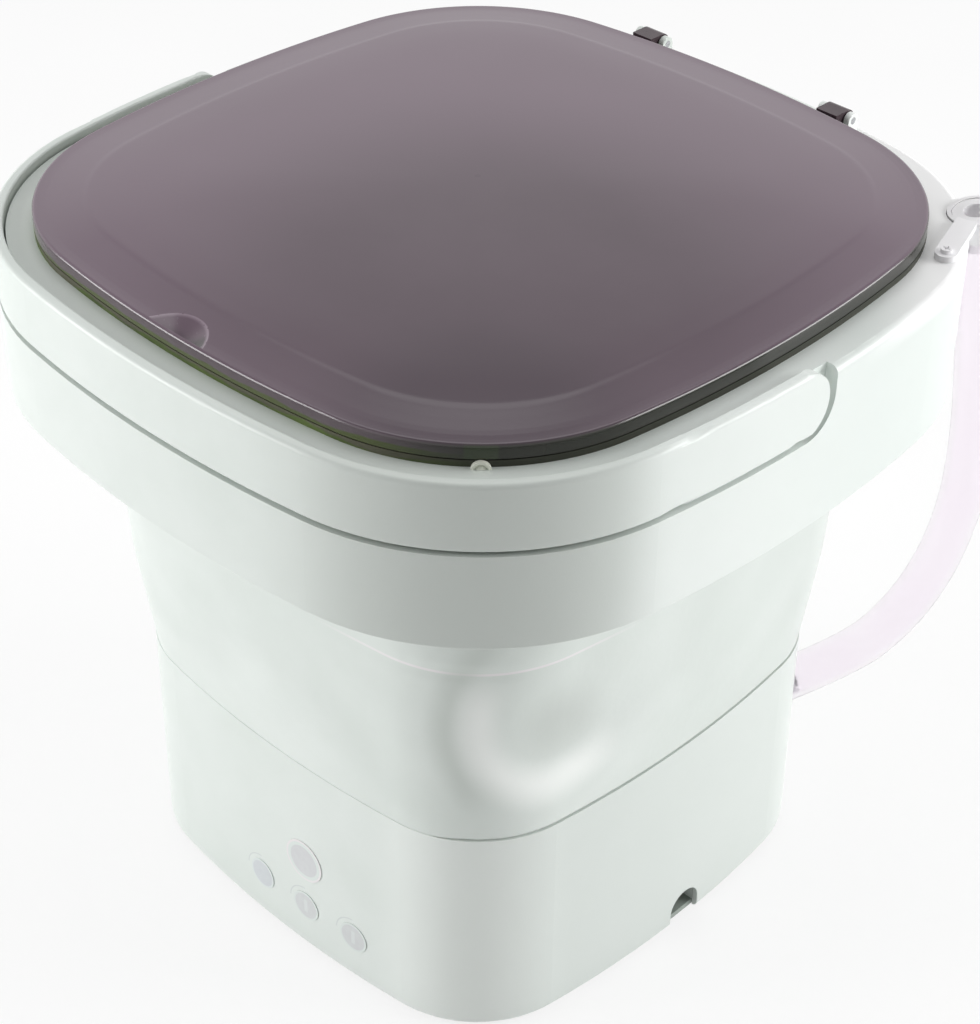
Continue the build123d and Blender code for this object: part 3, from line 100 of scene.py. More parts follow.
def planSpots(sideSteps, cornerSteps, fine=None):  # anchor and outward direction of each spot
    spots = []
    half = planShape["half"]
    sideCentre = half - planShape["sideRadius"]
    turn = radians(planShape["sideTurn"])
    cornerCentre = sideCentre + (planShape["sideRadius"] - planShape["cornerRadius"]) * cos(turn)
    sideAngles = [-turn + 2 * turn * step / sideSteps for step in range(sideSteps)]
    for quarter in range(4):
        quarterTurn = Matrix.Rotation(quarter * pi / 2, 2)
        angles = sideAngles
        if fine and quarter == 3:  # the front side, with closer spots round its finger dish
            low, high, steps = radians(fine[0]), radians(fine[1]), fine[2]
            angles = [angle for angle in sideAngles if angle < low - 0.001]
            angles += [low + (high - low) * step / steps for step in range(steps + 1)]
            angles += [angle for angle in sideAngles if angle > high + 0.001]
        for angle in angles:
            outward = Vector((cos(angle), sin(angle)))
            anchor = Vector((sideCentre, 0)) + outward * (planShape["sideRadius"] - half)
            spots.append((quarterTurn @ anchor, quarterTurn @ outward))
        for step in range(cornerSteps):
            angle = turn + (pi / 2 - 2 * turn) * step / cornerSteps
            outward = Vector((cos(angle), sin(angle)))
            anchor = Vector((cornerCentre, cornerCentre)) + outward * (planShape["cornerRadius"] - half)
            spots.append((quarterTurn @ anchor, quarterTurn @ outward))
    return spots


def planPoint(spot, half):
    anchor, outward = spot
    least = planShape["smallestHalf"]
    if half < least:
        return (anchor + outward * least) * (half / least)
    return anchor + outward * half


def wake(piece):
    bpy.ops.object.select_all(action="DESELECT")
    piece.select_set(True)
    bpy.context.view_layer.objects.active = piece


def ringSkin(name, rings, closed=False):  # rings of points, each drawn out of the last one
    bpy.ops.object.select_all(action="DESELECT")
    bpy.ops.mesh.primitive_circle_add(vertices=len(rings[0]), radius=1)
    piece = bpy.context.object
    piece.name = name
    bpy.ops.object.mode_set(mode="EDIT")
    shape = bmesh.from_edit_mesh(piece.data)
    shape.verts.ensure_lookup_table()
    for vert, place in zip(shape.verts, rings[0]):
        vert.co = Vector(place)
    bmesh.update_edit_mesh(piece.data)
    for before, after in zip(rings, rings[1:]):
        moves = {tuple(round(v * 1e6) for v in Vector(a)): Vector(b) for a, b in zip(before, after)}
        bpy.ops.mesh.extrude_region_move()
        shape = bmesh.from_edit_mesh(piece.data)
        for vert in shape.verts:
            if vert.select:
                vert.co = moves[tuple(round(v * 1e6) for v in vert.co)]
        bmesh.update_edit_mesh(piece.data)
    if closed:
        bpy.ops.mesh.merge(type="CENTER")
        bpy.ops.mesh.select_all(action="DESELECT")
        firstRing = {tuple(round(v * 1e6) for v in Vector(place)) for place in rings[0]}
        shape = bmesh.from_edit_mesh(piece.data)
        for vert in shape.verts:
            vert.select = tuple(round(v * 1e6) for v in vert.co) in firstRing
        shape.select_flush_mode()
        bmesh.update_edit_mesh(piece.data)
        bpy.ops.mesh.merge(type="CENTER")
    bpy.ops.object.mode_set(mode="OBJECT")
    return piece


def faceOutwards(piece, outward):  # turns the skin over if its first face looks inwards
    face = piece.data.polygons[0]
    if face.normal.dot(outward(face.center)) < 0:
        wake(piece)
        bpy.ops.object.mode_set(mode="EDIT")
        bpy.ops.mesh.select_all(action="SELECT")
        bpy.ops.mesh.flip_normals()
        bpy.ops.object.mode_set(mode="OBJECT")


def giveWall(piece, thickness, offset=-1):
    wake(piece)
    wall = piece.modifiers.new("wall", "SOLIDIFY")
    wall.thickness = thickness
    wall.offset = offset
    bpy.ops.object.modifier_apply(modifier=wall.name)


def smooth(piece, angle=35):
    wake(piece)
    bpy.ops.object.shade_smooth_by_angle(angle=radians(angle))


def settle(piece):  # leaves the object at the origin with its place in its mesh
    wake(piece)
    bpy.ops.object.transform_apply(location=True, rotation=True, scale=True)


# materials: each starts from the shader and the piece's own coordinates
def startMaterial(name):
    material = bpy.data.materials.new(name)
    material.use_nodes = True
    tree = material.node_tree
    place = tree.nodes.new("ShaderNodeTexCoord").outputs["Object"]
    return material, tree, tree.nodes["Principled BSDF"], place


def noise(tree, vector, scale, detail=3.0, stretch=None):
    if stretch:
        mapping = tree.nodes.new("ShaderNodeMapping")
        mapping.inputs["Scale"].default_value = stretch
        tree.links.new(vector, mapping.inputs["Vector"])
        vector = mapping.outputs["Vector"]
    texture = tree.nodes.new("ShaderNodeTexNoise")
    texture.inputs["Scale"].default_value = scale
    texture.inputs["Detail"].default_value = detail
    tree.links.new(vector, texture.inputs["Vector"])
    return texture.outputs["Fac"]


def ramp(tree, factor, stops):
    node = tree.nodes.new("ShaderNodeValToRGB")
    while len(node.color_ramp.elements) < len(stops):
        node.color_ramp.elements.new(0.5)
    for element, (position, colour) in zip(node.color_ramp.elements, stops):
        element.position = position
        element.color = colour
    tree.links.new(factor, node.inputs["Fac"])
    return node.outputs["Color"]


def mixColour(tree, factor, first, second, blend="MIX"):
    node = tree.nodes.new("ShaderNodeMix")
    node.data_type = "RGBA"
    node.blend_type = blend
    sockets = {"Factor": node.inputs[0], "A": node.inputs[6], "B": node.inputs[7]}
    for key, value in (("Factor", factor), ("A", first), ("B", second)):
        if isinstance(value, bpy.types.NodeSocket):
            tree.links.new(value, sockets[key])
        else:
            sockets[key].default_value = value
    return node.outputs[2]


def math(tree, operation, first, second=None, third=None, clamp=False):
    node = tree.nodes.new("ShaderNodeMath")
    node.operation = operation
    node.use_clamp = clamp
    for socket, value in zip(node.inputs, (first, second, third)):
        if isinstance(value, bpy.types.NodeSocket):
            tree.links.new(value, socket)
        elif value is not None:
            socket.default_value = value
    return node.outputs[0]


def rescale(tree, value, low, high, newLow, newHigh, smoothly=False):
    node = tree.nodes.new("ShaderNodeMapRange")
    node.interpolation_type = "SMOOTHSTEP" if smoothly else "LINEAR"
    tree.links.new(value, node.inputs["Value"])
    for socket, number in zip(node.inputs[1:5], (low, high, newLow, newHigh)):
        socket.default_value = number
    return node.outputs["Result"]


def axes(tree, vector):
    node = tree.nodes.new("ShaderNodeSeparateXYZ")
    tree.links.new(vector, node.inputs[0])
    return node.outputs[0], node.outputs[1], node.outputs[2]


def bump(tree, shader, height, distance, strength=1.0):
    node = tree.nodes.new("ShaderNodeBump")
    node.inputs["Distance"].default_value = distance
    node.inputs["Strength"].default_value = strength
    tree.links.new(height, node.inputs["Height"])
    tree.links.new(node.outputs["Normal"], shader.inputs["Normal"])


def planDistance(tree, vector, centre):  # distance from a point in plan, in metres
    x, y, z = axes(tree, vector)
    overX = math(tree, "SUBTRACT", x, centre[0])
    overY = math(tree, "SUBTRACT", y, centre[1])
    squares = math(tree, "ADD", math(tree, "MULTIPLY", overX, overX), math(tree, "MULTIPLY", overY, overY))
    return math(tree, "SQRT", squares)


# painted shade: where the right side under the lid is darkened
rightSide = {"lean": 0.35, "start": 0.03, "full": 0.08}


# painted shade mask: one along the right side under the lid, none along the front and left
def rightShade(tree, place):  # one along the right side under the lid, none along the front and left
    x, y, z = axes(tree, place)
    rightward = math(tree, "ADD", x, math(tree, "MULTIPLY", y, rightSide["lean"]))
    return rescale(tree, rightward, rightSide["start"], rightSide["full"], 0, 1, True)


mouldedFinish = {
    "mint": {"light": tone(225, 231, 227), "dark": tone(219, 226, 221), "roughness": 0.36, "grain": 0.00002,
             # painted shade at the near corner and painted light towards the right corner of the ring and strap
             "paintedShadeAndLight": [((1, -1.15), (0.225, 0.27), tone(203, 209, 204), 0.9),
                       ((1, 0.6), (0.095, 0.12), tone(243, 248, 245), 0.55),
                       ((1, 0.6), (0.145, 0.19), tone(222, 229, 225), 0.85)],
             # painted light on the deck at the hook's corner
             "deckPaintedLight": ((0.18, 0.235), (0.285, 0.291), tone(255, 255, 255), 1.0)},
    "housing": {"light": tone(225, 231, 227), "dark": tone(219, 226, 221), "roughness": 0.36, "grain": 0.00002,
                # painted light at the base's near corner and painted shade along its right side
                "paintedShadeAndLight": [((1, -1.15), (0.175, 0.204), tone(234, 239, 235), 0.9),
                          ((1, 0), (0.1, 0.112), tone(214, 220, 216), 0.6)]},
    # painted shade: the bottom cover is the mint plastic darkened to the grey-green that it shows in shade behind the
    # inlet notch
    "cover": {"light": tone(158, 167, 160), "dark": tone(148, 157, 150), "roughness": 0.5, "grain": 0.00003},
    "white": {"light": tone(236, 237, 238), "dark": tone(226, 228, 230), "roughness": 0.4, "grain": 0.00002},
    "hookWhite": {"light": tone(253, 252, 253), "dark": tone(247, 246, 248), "roughness": 0.33, "grain": 0.00001},
    "nubCream": {"light": tone(232, 233, 221), "dark": tone(222, 224, 210), "roughness": 0.36, "grain": 0.00001},
    "gear": {"light": tone(232, 229, 218), "dark": tone(220, 216, 202), "roughness": 0.5, "grain": 0.00003},
    "motorBlack": {"light": tone(52, 52, 54), "dark": tone(40, 40, 42), "roughness": 0.5, "grain": 0.00004},
    "footGrey": {"light": tone(92, 94, 95), "dark": tone(70, 72, 74), "roughness": 0.75, "grain": 0.00008},
    "padGrey": {"light": tone(104, 104, 106), "dark": tone(86, 86, 88), "roughness": 0.7, "grain": 0.00005},
    "boardGreen": {"light": tone(42, 102, 62), "dark": tone(30, 82, 48), "roughness": 0.4, "grain": 0.00002},
}


def mouldedPlastic(name, finish):
    material, tree, shader, place = startMaterial(name)
    mottle = noise(tree, place, 22, 4)
    colour = ramp(tree, mottle, [(0.3, finish["dark"]), (0.7, finish["light"])])
    x, y, z = axes(tree, place)
    # painted shade and painted light: darker or lighter round the near corner and the right side
    for (alongX, alongY), (low, high), tint, share in finish.get("paintedShadeAndLight", []):
        reach = math(tree, "ADD", math(tree, "MULTIPLY", x, alongX), math(tree, "MULTIPLY", y, alongY))
        colour = mixColour(tree, rescale(tree, reach, low, high, 0, share, True), colour, tint)
    # painted light: the deck is paler at the hook's corner
    if "deckPaintedLight" in finish:  # the deck is paler at the hook's corner
        (low, high), (lowZ, highZ), tint, share = finish["deckPaintedLight"]
        amount = rescale(tree, math(tree, "ADD", x, y), low, high, 0, share, True)
        amount = math(tree, "MULTIPLY", amount, rescale(tree, z, lowZ, highZ, 0, 1))
        colour = mixColour(tree, amount, colour, tint)
    tree.links.new(colour, shader.inputs["Base Color"])
    wear = noise(tree, place, 90, 5)
    smoothest, roughest = finish["roughness"] - 0.05, finish["roughness"] + 0.06
    tree.links.new(rescale(tree, wear, 0.3, 0.7, smoothest, roughest), shader.inputs["Roughness"])
    bump(tree, shader, noise(tree, place, 1400, 2), finish["grain"])
    return material


plastics = {key: mouldedPlastic(key + "Plastic", finish) for key, finish in mouldedFinish.items()}

steelFinish = {
    "screwSteel": {"light": tone(178, 178, 180), "dark": tone(140, 140, 143), "roughness": 0.36, "stretch": (1, 1, 1)},
    "turnedSteel": {"light": tone(196, 197, 199), "dark": tone(160, 161, 164), "roughness": 0.28, "stretch": (1, 1, 14)},
}


def metal(name, finish):
    material, tree, shader, place = startMaterial(name)
    shader.inputs["Metallic"].default_value = 1
    streaks = noise(tree, place, 420, 3, finish["stretch"])
    colour = ramp(tree, streaks, [(0.3, finish["dark"]), (0.72, finish["light"])])
    tree.links.new(colour, shader.inputs["Base Color"])
    smoothest, roughest = finish["roughness"] - 0.08, finish["roughness"] + 0.1
    tree.links.new(rescale(tree, streaks, 0.3, 0.7, smoothest, roughest), shader.inputs["Roughness"])
    bump(tree, shader, streaks, 0.00002)
    return material


metals = {key: metal(key, finish) for key, finish in steelFinish.items()}

# the seal's shade tone is painted shade along the right side under the lid
sealFinish = {"light": tone(96, 114, 56), "dark": tone(64, 80, 36), "grey": tone(96, 92, 80),
              "shade": tone(45, 47, 36), "greyFrom": (0.2953, 0.2965), "wave": 0.007, "roughness": 0.6}


def sealRubber():
    material, tree, shader, place = startMaterial("sealRubber")
    mottle = noise(tree, place, 60, 4)
    colour = ramp(tree, mottle, [(0.3, sealFinish["dark"]), (0.7, sealFinish["light"])])
    x, y, z = axes(tree, place)
    swing = math(tree, "SUBTRACT", noise(tree, place, 40, 3), 0.5)
    level = math(tree, "ADD", z, math(tree, "MULTIPLY", swing, sealFinish["wave"]))
    low, high = sealFinish["greyFrom"]
    waves = rescale(tree, level, low, high, 0, 0.85, True)
    colour = mixColour(tree, waves, colour, sealFinish["grey"])
    # painted shade on the seal along the right side
    colour = mixColour(tree, rightShade(tree, place), colour, sealFinish["shade"])
    tree.links.new(colour, shader.inputs["Base Color"])
    shader.inputs["Roughness"].default_value = sealFinish["roughness"]
    bump(tree, shader, noise(tree, place, 900, 3), 0.00005)
    return material


keyFinish = {
    "timer_key": {"centre": (-0.011, 0.0255), "disc": tone(205, 209, 213), "edge": tone(219, 226, 225), "bar": False},
    "start_key": {"centre": (0.0155, 0.0255), "disc": tone(209, 211, 212), "edge": tone(220, 227, 224), "bar": True},
    "spin_key": {"centre": (0.042, 0.0255), "disc": tone(208, 210, 211), "edge": tone(220, 227, 224), "bar": True},
    "power_key": {"centre": (0.0155, 0.0505), "disc": tone(209, 210, 212), "edge": tone(221, 228, 225), "bar": False},
}
keyRing = {"disc": 0.0075, "lowerDisc": 0.0061, "inside": 0.0091, "colour": tone(234, 230, 231)}
keyBar = {"halfWidth": (0.0007, 0.0012), "halfLength": (0.003, 0.0036), "colour": tone(217, 221, 221)}
keyArc = {"keys": ["timer_key", "start_key", "spin_key"], "radius": 0.0093, "halfWidth": 0.00028,
          "colour": tone(200, 206, 206)}


def keyReach(tree, place, centre):  # distance from a key's middle on the front, with its parts along x and z
    x, y, z = axes(tree, place)
    overX = math(tree, "SUBTRACT", x, centre[0])
    overZ = math(tree, "SUBTRACT", z, centre[1])
    squares = math(tree, "ADD", math(tree, "MULTIPLY", overX, overX), math(tree, "MULTIPLY", overZ, overZ))
    return math(tree, "SQRT", squares), overX, overZ, y


def keyPrint(name, finish):
    material, tree, shader, place = startMaterial(name + "Print")
    reach, overX, overZ, y = keyReach(tree, place, finish["centre"])
    discRadius = keyRing["disc"] if name == "power_key" else keyRing["lowerDisc"]
    inDisc = rescale(tree, reach, discRadius - 0.0003, discRadius + 0.0003, 1, 0, True)
    colour = mixColour(tree, inDisc, finish["edge"], finish["disc"])
    if name == "power_key":
        onRing = rescale(tree, reach, keyRing["inside"] - 0.0002, keyRing["inside"] + 0.0002, 0, 1, True)
        colour = mixColour(tree, onRing, colour, keyRing["colour"])
    if finish["bar"]:
        across = rescale(tree, math(tree, "ABSOLUTE", overX), *keyBar["halfWidth"], 1, 0, True)
        along = rescale(tree, math(tree, "ABSOLUTE", overZ), *keyBar["halfLength"], 1, 0, True)
        colour = mixColour(tree, math(tree, "MULTIPLY", across, along), colour, keyBar["colour"])
    mottle = noise(tree, place, 300, 3)
    colour = mixColour(tree, rescale(tree, mottle, 0.3, 0.7, 0, 0.25), colour, tone(222, 229, 226))
    tree.links.new(colour, shader.inputs["Base Color"])
    shader.inputs["Roughness"].default_value = 0.4
    bump(tree, shader, noise(tree, place, 1400, 2), 0.00001)
    return material


def printArcs(material):  # a thin quarter round above and left of the lower keys
    tree = material.node_tree
    shader = tree.nodes["Principled BSDF"]
    place = tree.nodes.new("ShaderNodeTexCoord").outputs["Object"]
    colour = shader.inputs["Base Color"].links[0].from_socket
    for key in keyArc["keys"]:
        reach, overX, overZ, y = keyReach(tree, place, keyFinish[key]["centre"])
        off = math(tree, "ABSOLUTE", math(tree, "SUBTRACT", reach, keyArc["radius"]))
        line = rescale(tree, off, keyArc["halfWidth"] - 0.0001, keyArc["halfWidth"] + 0.0001, 0.6, 0, True)
        for value, low, high in ((overX, 0.0, -0.0008), (overZ, 0.0, 0.0008), (y, -0.1, -0.105)):
            line = math(tree, "MULTIPLY", line, rescale(tree, value, low, high, 0, 1))
        colour = mixColour(tree, line, colour, keyArc["colour"])
    tree.links.new(colour, shader.inputs["Base Color"])


printArcs(plastics["housing"])

nodeFinishes = {
    "mint": ["top_ring", "handle_strap"],
    # painted shade: the bottom cover takes the darkened mint
    "cover": ["bottom_cover"],
    "housing": ["base_housing", "inlet_shroud"],
    "white": ["lower_tub", "lower_clamp_ring", "inner_collar", "upper_clamp_ring", "pulsator", "drain_grate",
              "drain_elbow", "drain_spigot", "gearbox_tray", "gearbox_cover"],
    "hookWhite": ["hose_hook", "hose_nozzle", "hook_screw"],
    "gear": ["output_gear", "reduction_gear", "motor_pinion"],
    "motorBlack": ["motor_end_bell", "power_inlet", "motor_magnets"],
    "footGrey": ["foot_front_left", "foot_front_right", "foot_back_left", "foot_back_right", "shaft_seal"],
    "padGrey": ["touch_pads"],
    "boardGreen": ["control_board"],
    "screwSteel": ["cover_screws", "lower_clamp_screws", "upper_clamp_screws", "collar_screws", "board_screws",
                   "gearbox_screws", "motor_screws", "pulsator_screw", "left_pivot_cap", "right_pivot_cap"],
    "turnedSteel": ["left_hinge_pin", "right_hinge_pin", "idler_pin", "output_shaft", "rotor_shaft",
                    "lower_bearing", "upper_bearing", "motor_case", "rotor_core"],
}


def dress(node, material):
    for materialSlot in cadNodes[node].material_slots:
        materialSlot.material = material


for finishName, nodes in nodeFinishes.items():
    for node in nodes:
        dress(node, {**plastics, **metals}[finishName])
dress("lid_seal", sealRubber())
for node, finish in keyFinish.items():
    dress(node, keyPrint(node, finish))
print("frame dressed")


# soft folding wall: one skin from the clamp ring in the base to the one in the top ring
softWall = {
    "thickness": 2.0,
    "levels": [(99.5, 103.5), (99.5, 107.5), (99.5, 110.6), (101.2, 110.7), (102.0, 110.75), (102.62, 111.0),
               (102.7, 112.6), (103.0, 113.1), (104.0, 113.35)],
    "seamDrop": 0.58,
    "edgeDrop": 0.8,
    "edgeGrow": 0.12,
    "rise": [(104.0, 113.35), (125.0, 116.4), (148.6, 119.0), (170.0, 120.6), (188.6, 121.5), (215.0, 122.7),
             (250.0, 123.8)],
    "riseStep": 2.0,
    "head": [(255.0, 124.0), (257.6, 124.3), (258.4, 125.2), (258.5, 127.0), (258.5, 130.5), (258.5, 133.9)],
    # middle, reach along the wall, reach in height, depth outwards
    "dents": [
        ((113, -77, 150), 17, 20, -3.6),
        ((116, -50, 142), 14, 14, -1.2),
        ((104, -91, 121), 16, 6.5, 1.3),
        ((-17, -117, 136), 11, 8, -1.6),
        ((-30, -118, 150), 22, 14, 0.9),
        ((40, -117, 170), 20, 18, -0.8),
        ((119, 10, 150), 26, 20, 0.9),
        ((119, 52, 140), 22, 18, -0.9),
        ((-119, -30, 150), 26, 18, -1.5),
        ((-112, 84, 160), 16, 20, -2.0),
        ((-40, 119, 145), 26, 16, -1.6),
        ((60, 117, 160), 20, 20, 1.0),
    ],
    "crease": {"z": 189.0, "depth": -0.7, "reach": 2.2},
    # painted shade in the corner's dent, by the way along the corner and the height: middle, radii, tone, share
    "flat": 0.8,
    "hollowPaintedShade": ((0.030, 0.154), (0.003, 0.021), tone(196, 202, 197), 0.65),
    # painted shade and painted highlight in arcs round that dent: middle, radii, the way that they lie in, its range,
    # tone, share
    "arcs": [
        ((0.028, 0.162), (0.032, 0.040, 0.050), (-1, 0.15), (0.018, 0.034), tone(200, 207, 201), 0.6),
        ((0.028, 0.162), (0.017, 0.028, 0.041), (-0.65, -0.76), (-0.004, 0.016), tone(250, 253, 250), 0.85),
    ],
    # painted shade on the wall's right side
    "right": ((0.112, 0.122), tone(210, 217, 212), 0.5),
}


def wallShift(point):  # how far the wall's outside stands out from its smooth shape
    shift = 0.0
    x, y, z = point
    for (middleX, middleY, middleZ), along, height, depth in softWall["dents"]:
        spread = ((x - middleX) ** 2 + (y - middleY) ** 2) / along ** 2 + ((z - middleZ) / height) ** 2
        if spread < 20:
            shift += depth * exp(-spread / 2)
    corner = exp(-((x - 98) ** 2 + (y + 98) ** 2) / (2 * 42 ** 2)) + 0.35
    crease = softWall["crease"]
    shift += crease["depth"] * corner * exp(-((z - crease["z"]) / crease["reach"]) ** 2 / 2)
    ripple = sin(x * 0.071 + z * 0.05) * sin(y * 0.063 - z * 0.083 + 1.3)
    ripple += 0.6 * sin((x - y) * 0.11 + z * 0.12)
    shift += 0.28 * ripple
    ends = min(1, max(0, (z - 106) / 14)) * min(1, max(0, (246 - z) / 30))
    return shift * ends


def makeSoftWall():
    spots = planSpots(48, 64)
    levels = list(softWall["levels"])
    rise = softWall["rise"]
    z = rise[0][0] + softWall["riseStep"]
    while z < rise[-1][0] + 0.1:
        for (lowZ, lowHalf), (highZ, highHalf) in zip(rise, rise[1:]):
            if lowZ < z <= highZ + 0.001:
                levels.append((z, lowHalf + (highHalf - lowHalf) * (z - lowZ) / (highZ - lowZ)))
        z += softWall["riseStep"]
    levels += softWall["head"]
    rings = []
    for z, half in levels:
        ring = []
        for spot in spots:
            flat = planPoint(spot, half)
            if 104 < z < 255:
                flat = planPoint(spot, half + wallShift((flat.x, flat.y, z)))
            height = z
            if 102.3 < z < 103.5:  # the seam over the base closes up towards the front and left
                closing = min(1, max(0, (0.62 - spot[1].x) / 0.3))
                onEdge = closing if z > 102.9 else 0
                height -= softWall["seamDrop"] * closing + softWall["edgeDrop"] * onEdge
                flat = planPoint(spot, half + softWall["edgeGrow"] * onEdge)
            ring.append((flat.x * mm, flat.y * mm, height * mm))
        rings.append(ring)
    piece = ringSkin("softWallSkin", rings)
    faceOutwards(piece, lambda centre: Vector((0, 0, -1)))
    giveWall(piece, softWall["thickness"] * mm)
    smooth(piece, 50)
    return piece


softWallSkin = makeSoftWall()


def wallRubber():
    material, tree, shader, place = startMaterial("wallRubber")
    mottle = noise(tree, place, 14, 5)
    colour = ramp(tree, mottle, [(0.3, tone(216, 223, 218)), (0.7, tone(226, 232, 228))])
    x, y, z = axes(tree, place)
    # painted highlight: a pale line along the crease on the near side
    off = math(tree, "ABSOLUTE", math(tree, "SUBTRACT", z, softWall["crease"]["z"] * mm))
    nearSide = rescale(tree, math(tree, "SUBTRACT", x, y), 0.15, 0.19, 0, 0.6, True)
    line = math(tree, "MULTIPLY", rescale(tree, off, 0.0003, 0.0008, 1, 0, True), nearSide)
    colour = mixColour(tree, line, colour, tone(248, 240, 244))
    alongWall = math(tree, "MULTIPLY", math(tree, "ADD", x, y), 0.7071)
    nearCorner = rescale(tree, math(tree, "SUBTRACT", x, y), 0.06, 0.1, 0, 1)

    def reachFrom(centre):  # distance from a spot on the corner, with its parts along and up
        over = math(tree, "SUBTRACT", alongWall, centre[0])
        up = math(tree, "MULTIPLY", math(tree, "SUBTRACT", z, centre[1]), softWall["flat"])
        squares = math(tree, "ADD", math(tree, "MULTIPLY", over, over), math(tree, "MULTIPLY", up, up))
        return math(tree, "SQRT", squares), over, up

    # painted shade in the hollow of the corner's dent
    centre, (low, high), tint, share = softWall["hollowPaintedShade"]
    amount = rescale(tree, reachFrom(centre)[0], low, high, share, 0, True)
    colour = mixColour(tree, math(tree, "MULTIPLY", amount, nearCorner), colour, tint)
    # painted shade in the fold and painted highlight on the crescent round the dent
    for centre, (low, middle, high), (wayAlong, wayUp), (start, full), tint, share in softWall["arcs"]:
        reach, over, up = reachFrom(centre)
        inner = rescale(tree, reach, low, middle, 0, share, True)
        band = math(tree, "MINIMUM", inner, rescale(tree, reach, middle, high, share, 0, True))
        side = math(tree, "ADD", math(tree, "MULTIPLY", over, wayAlong), math(tree, "MULTIPLY", up, wayUp))
        amount = math(tree, "MULTIPLY", band, rescale(tree, side, start, full, 0, 1, True))
        colour = mixColour(tree, math(tree, "MULTIPLY", amount, nearCorner), colour, tint)
    # painted shade along the right side
    (low, high), tint, share = softWall["right"]
    rightward = math(tree, "ADD", x, math(tree, "MULTIPLY", y, 0.3))
    colour = mixColour(tree, rescale(tree, rightward, low, high, 0, share, True), colour, tint)
    tree.links.new(colour, shader.inputs["Base Color"])
    wear = noise(tree, place, 60, 5)
    tree.links.new(rescale(tree, wear, 0.3, 0.7, 0.36, 0.5), shader.inputs["Roughness"])
    bump(tree, shader, noise(tree, place, 260, 4), 0.00006)
    return material


softWallSkin.data.materials.append(wallRubber())
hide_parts("soft_wall")
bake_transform(softWallSkin)
print("soft wall made")

# drain hose: the route runs up the corner from the spigot to the hook on the ring
drainHose = {
    "radius": 9.0,
    "wall": 2.0,
    "route": [(0.09122, 0.0686), (0.11066, 0.0838), (0.12268, 0.1020), (0.13230, 0.1288), (0.13753, 0.1609),
              (0.13817, 0.1959), (0.13647, 0.2308), (0.13336, 0.2665), (0.13039, 0.2950)],
    "length": 0.253,
    "sides": 40,
}


def hoseLine():  # points read from the route's smooth line
    curveData = bpy.data.curves.new("hoseRoute", "CURVE")
    curveData.dimensions = "3D"
    curveData.resolution_u = 16
    spline = curveData.splines.new("NURBS")
    route = drainHose["route"]
    spline.points.add(len(route) - 1)
    for point, (side, height) in zip(spline.points, route):
        point.co = (side, side, height, 1)
    spline.order_u = 3
    spline.use_endpoint_u = True
    curveObject = bpy.data.objects.new("hoseRoute", curveData)
    bpy.context.scene.collection.objects.link(curveObject)
    bpy.context.view_layer.update()
    line = bpy.data.meshes.new_from_object(curveObject)
    points = [vert.co.copy() for vert in line.vertices]
    bpy.data.objects.remove(curveObject)
    bpy.data.curves.remove(curveData)
    bpy.data.meshes.remove(line)
    return points


def makeHose():
    points = hoseLine()
    sideways = Vector((1, -1, 0)).normalized()
    rings = []
    for index, point in enumerate(points):
        before = points[max(0, index - 1)]
        after = points[min(len(points) - 1, index + 1)]
        along = (after - before).normalized()
        other = along.cross(sideways).normalized()
        angles = [2 * pi * step / drainHose["sides"] for step in range(drainHose["sides"])]
        rings.append([
            tuple(point + (sideways * cos(angle) + other * sin(angle)) * drainHose["radius"] * mm)
            for angle in angles
        ])
    piece = ringSkin("drainHoseTube", rings)
    faceOutwards(piece, lambda centre: centre - points[0])
    giveWall(piece, drainHose["wall"] * mm)
    smooth(piece, 60)
    return piece, points


drainHoseTube, hosePoints = makeHose()


def hosePlastic():
    material, tree, shader, place = startMaterial("hosePlastic")
    mottle = noise(tree, place, 40, 4)
    body = ramp(tree, mottle, [(0.3, tone(254, 250, 254)), (0.7, tone(255, 252, 255))])
    tree.links.new(body, shader.inputs["Base Color"])
    shader.inputs["Roughness"].default_value = 0.3
    shader.inputs["Transmission Weight"].default_value = 0.96
    shader.inputs["IOR"].default_value = 1.08
    bump(tree, shader, noise(tree, place, 500, 3), 0.00003)
    return material


drainHoseTube.data.materials.append(hosePlastic())
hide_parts("drain_hose")
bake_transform(drainHoseTube)
print("drain hose made")

# lid: dome with a low step round its panel, a skirt, a finger dish and two hinge lugs
lidShape = {
    "half": 144.5,
    "outside": [(297.3, 144.3), (297.5, 144.5), (298.5, 144.5), (300.0, 144.5), (301.3, 144.5), (301.8, 144.5),
                (302.25, 144.4), (302.6, 144.15), (302.85, 143.8), (302.97, 143.4), (303.0, 143.15), (303.0, 143.0)],
    "dome": [(303.0, 143.0), (303.04, 141.5), (303.15, 139.5), (303.4, 137.0), (303.75, 134.0), (304.1, 131.0),
             (304.42, 128.5), (304.6, 127.0), (304.72, 126.0), (304.86, 125.2), (305.0, 124.4), (305.1, 123.6),
             (305.19, 122.5), (305.3, 121.0), (305.6, 117.0), (306.0, 111.0), (306.35, 102.0), (306.7, 92.0),
             (307.05, 80.0), (307.4, 66.0), (307.65, 52.0), (307.84, 38.0), (307.95, 24.0), (308.0, 11.0),
             (308.0, 4.0)],
    "inside": [(305.8, 4.0), (305.6, 38.0), (305.1, 66.0), (304.3, 92.0), (303.3, 117.0), (302.4, 128.5),
               (301.7, 134.0), (301.2, 137.5), (300.9, 140.0), (300.7, 141.4), (300.2, 142.1), (299.4, 142.3),
               (297.5, 142.3), (297.3, 142.5)],
    "dish": {"x": -3.0, "width": 32.5, "reach": 10.3, "depth": 3.5, "lip": 143.1, "step": 0.35, "wall": 1.4},
    "lug": {"x": 48.5, "width": 10.0, "radius": 3.6, "y": 150.5, "z": 299.4, "reach": 6.2, "edge": 1.5},
}


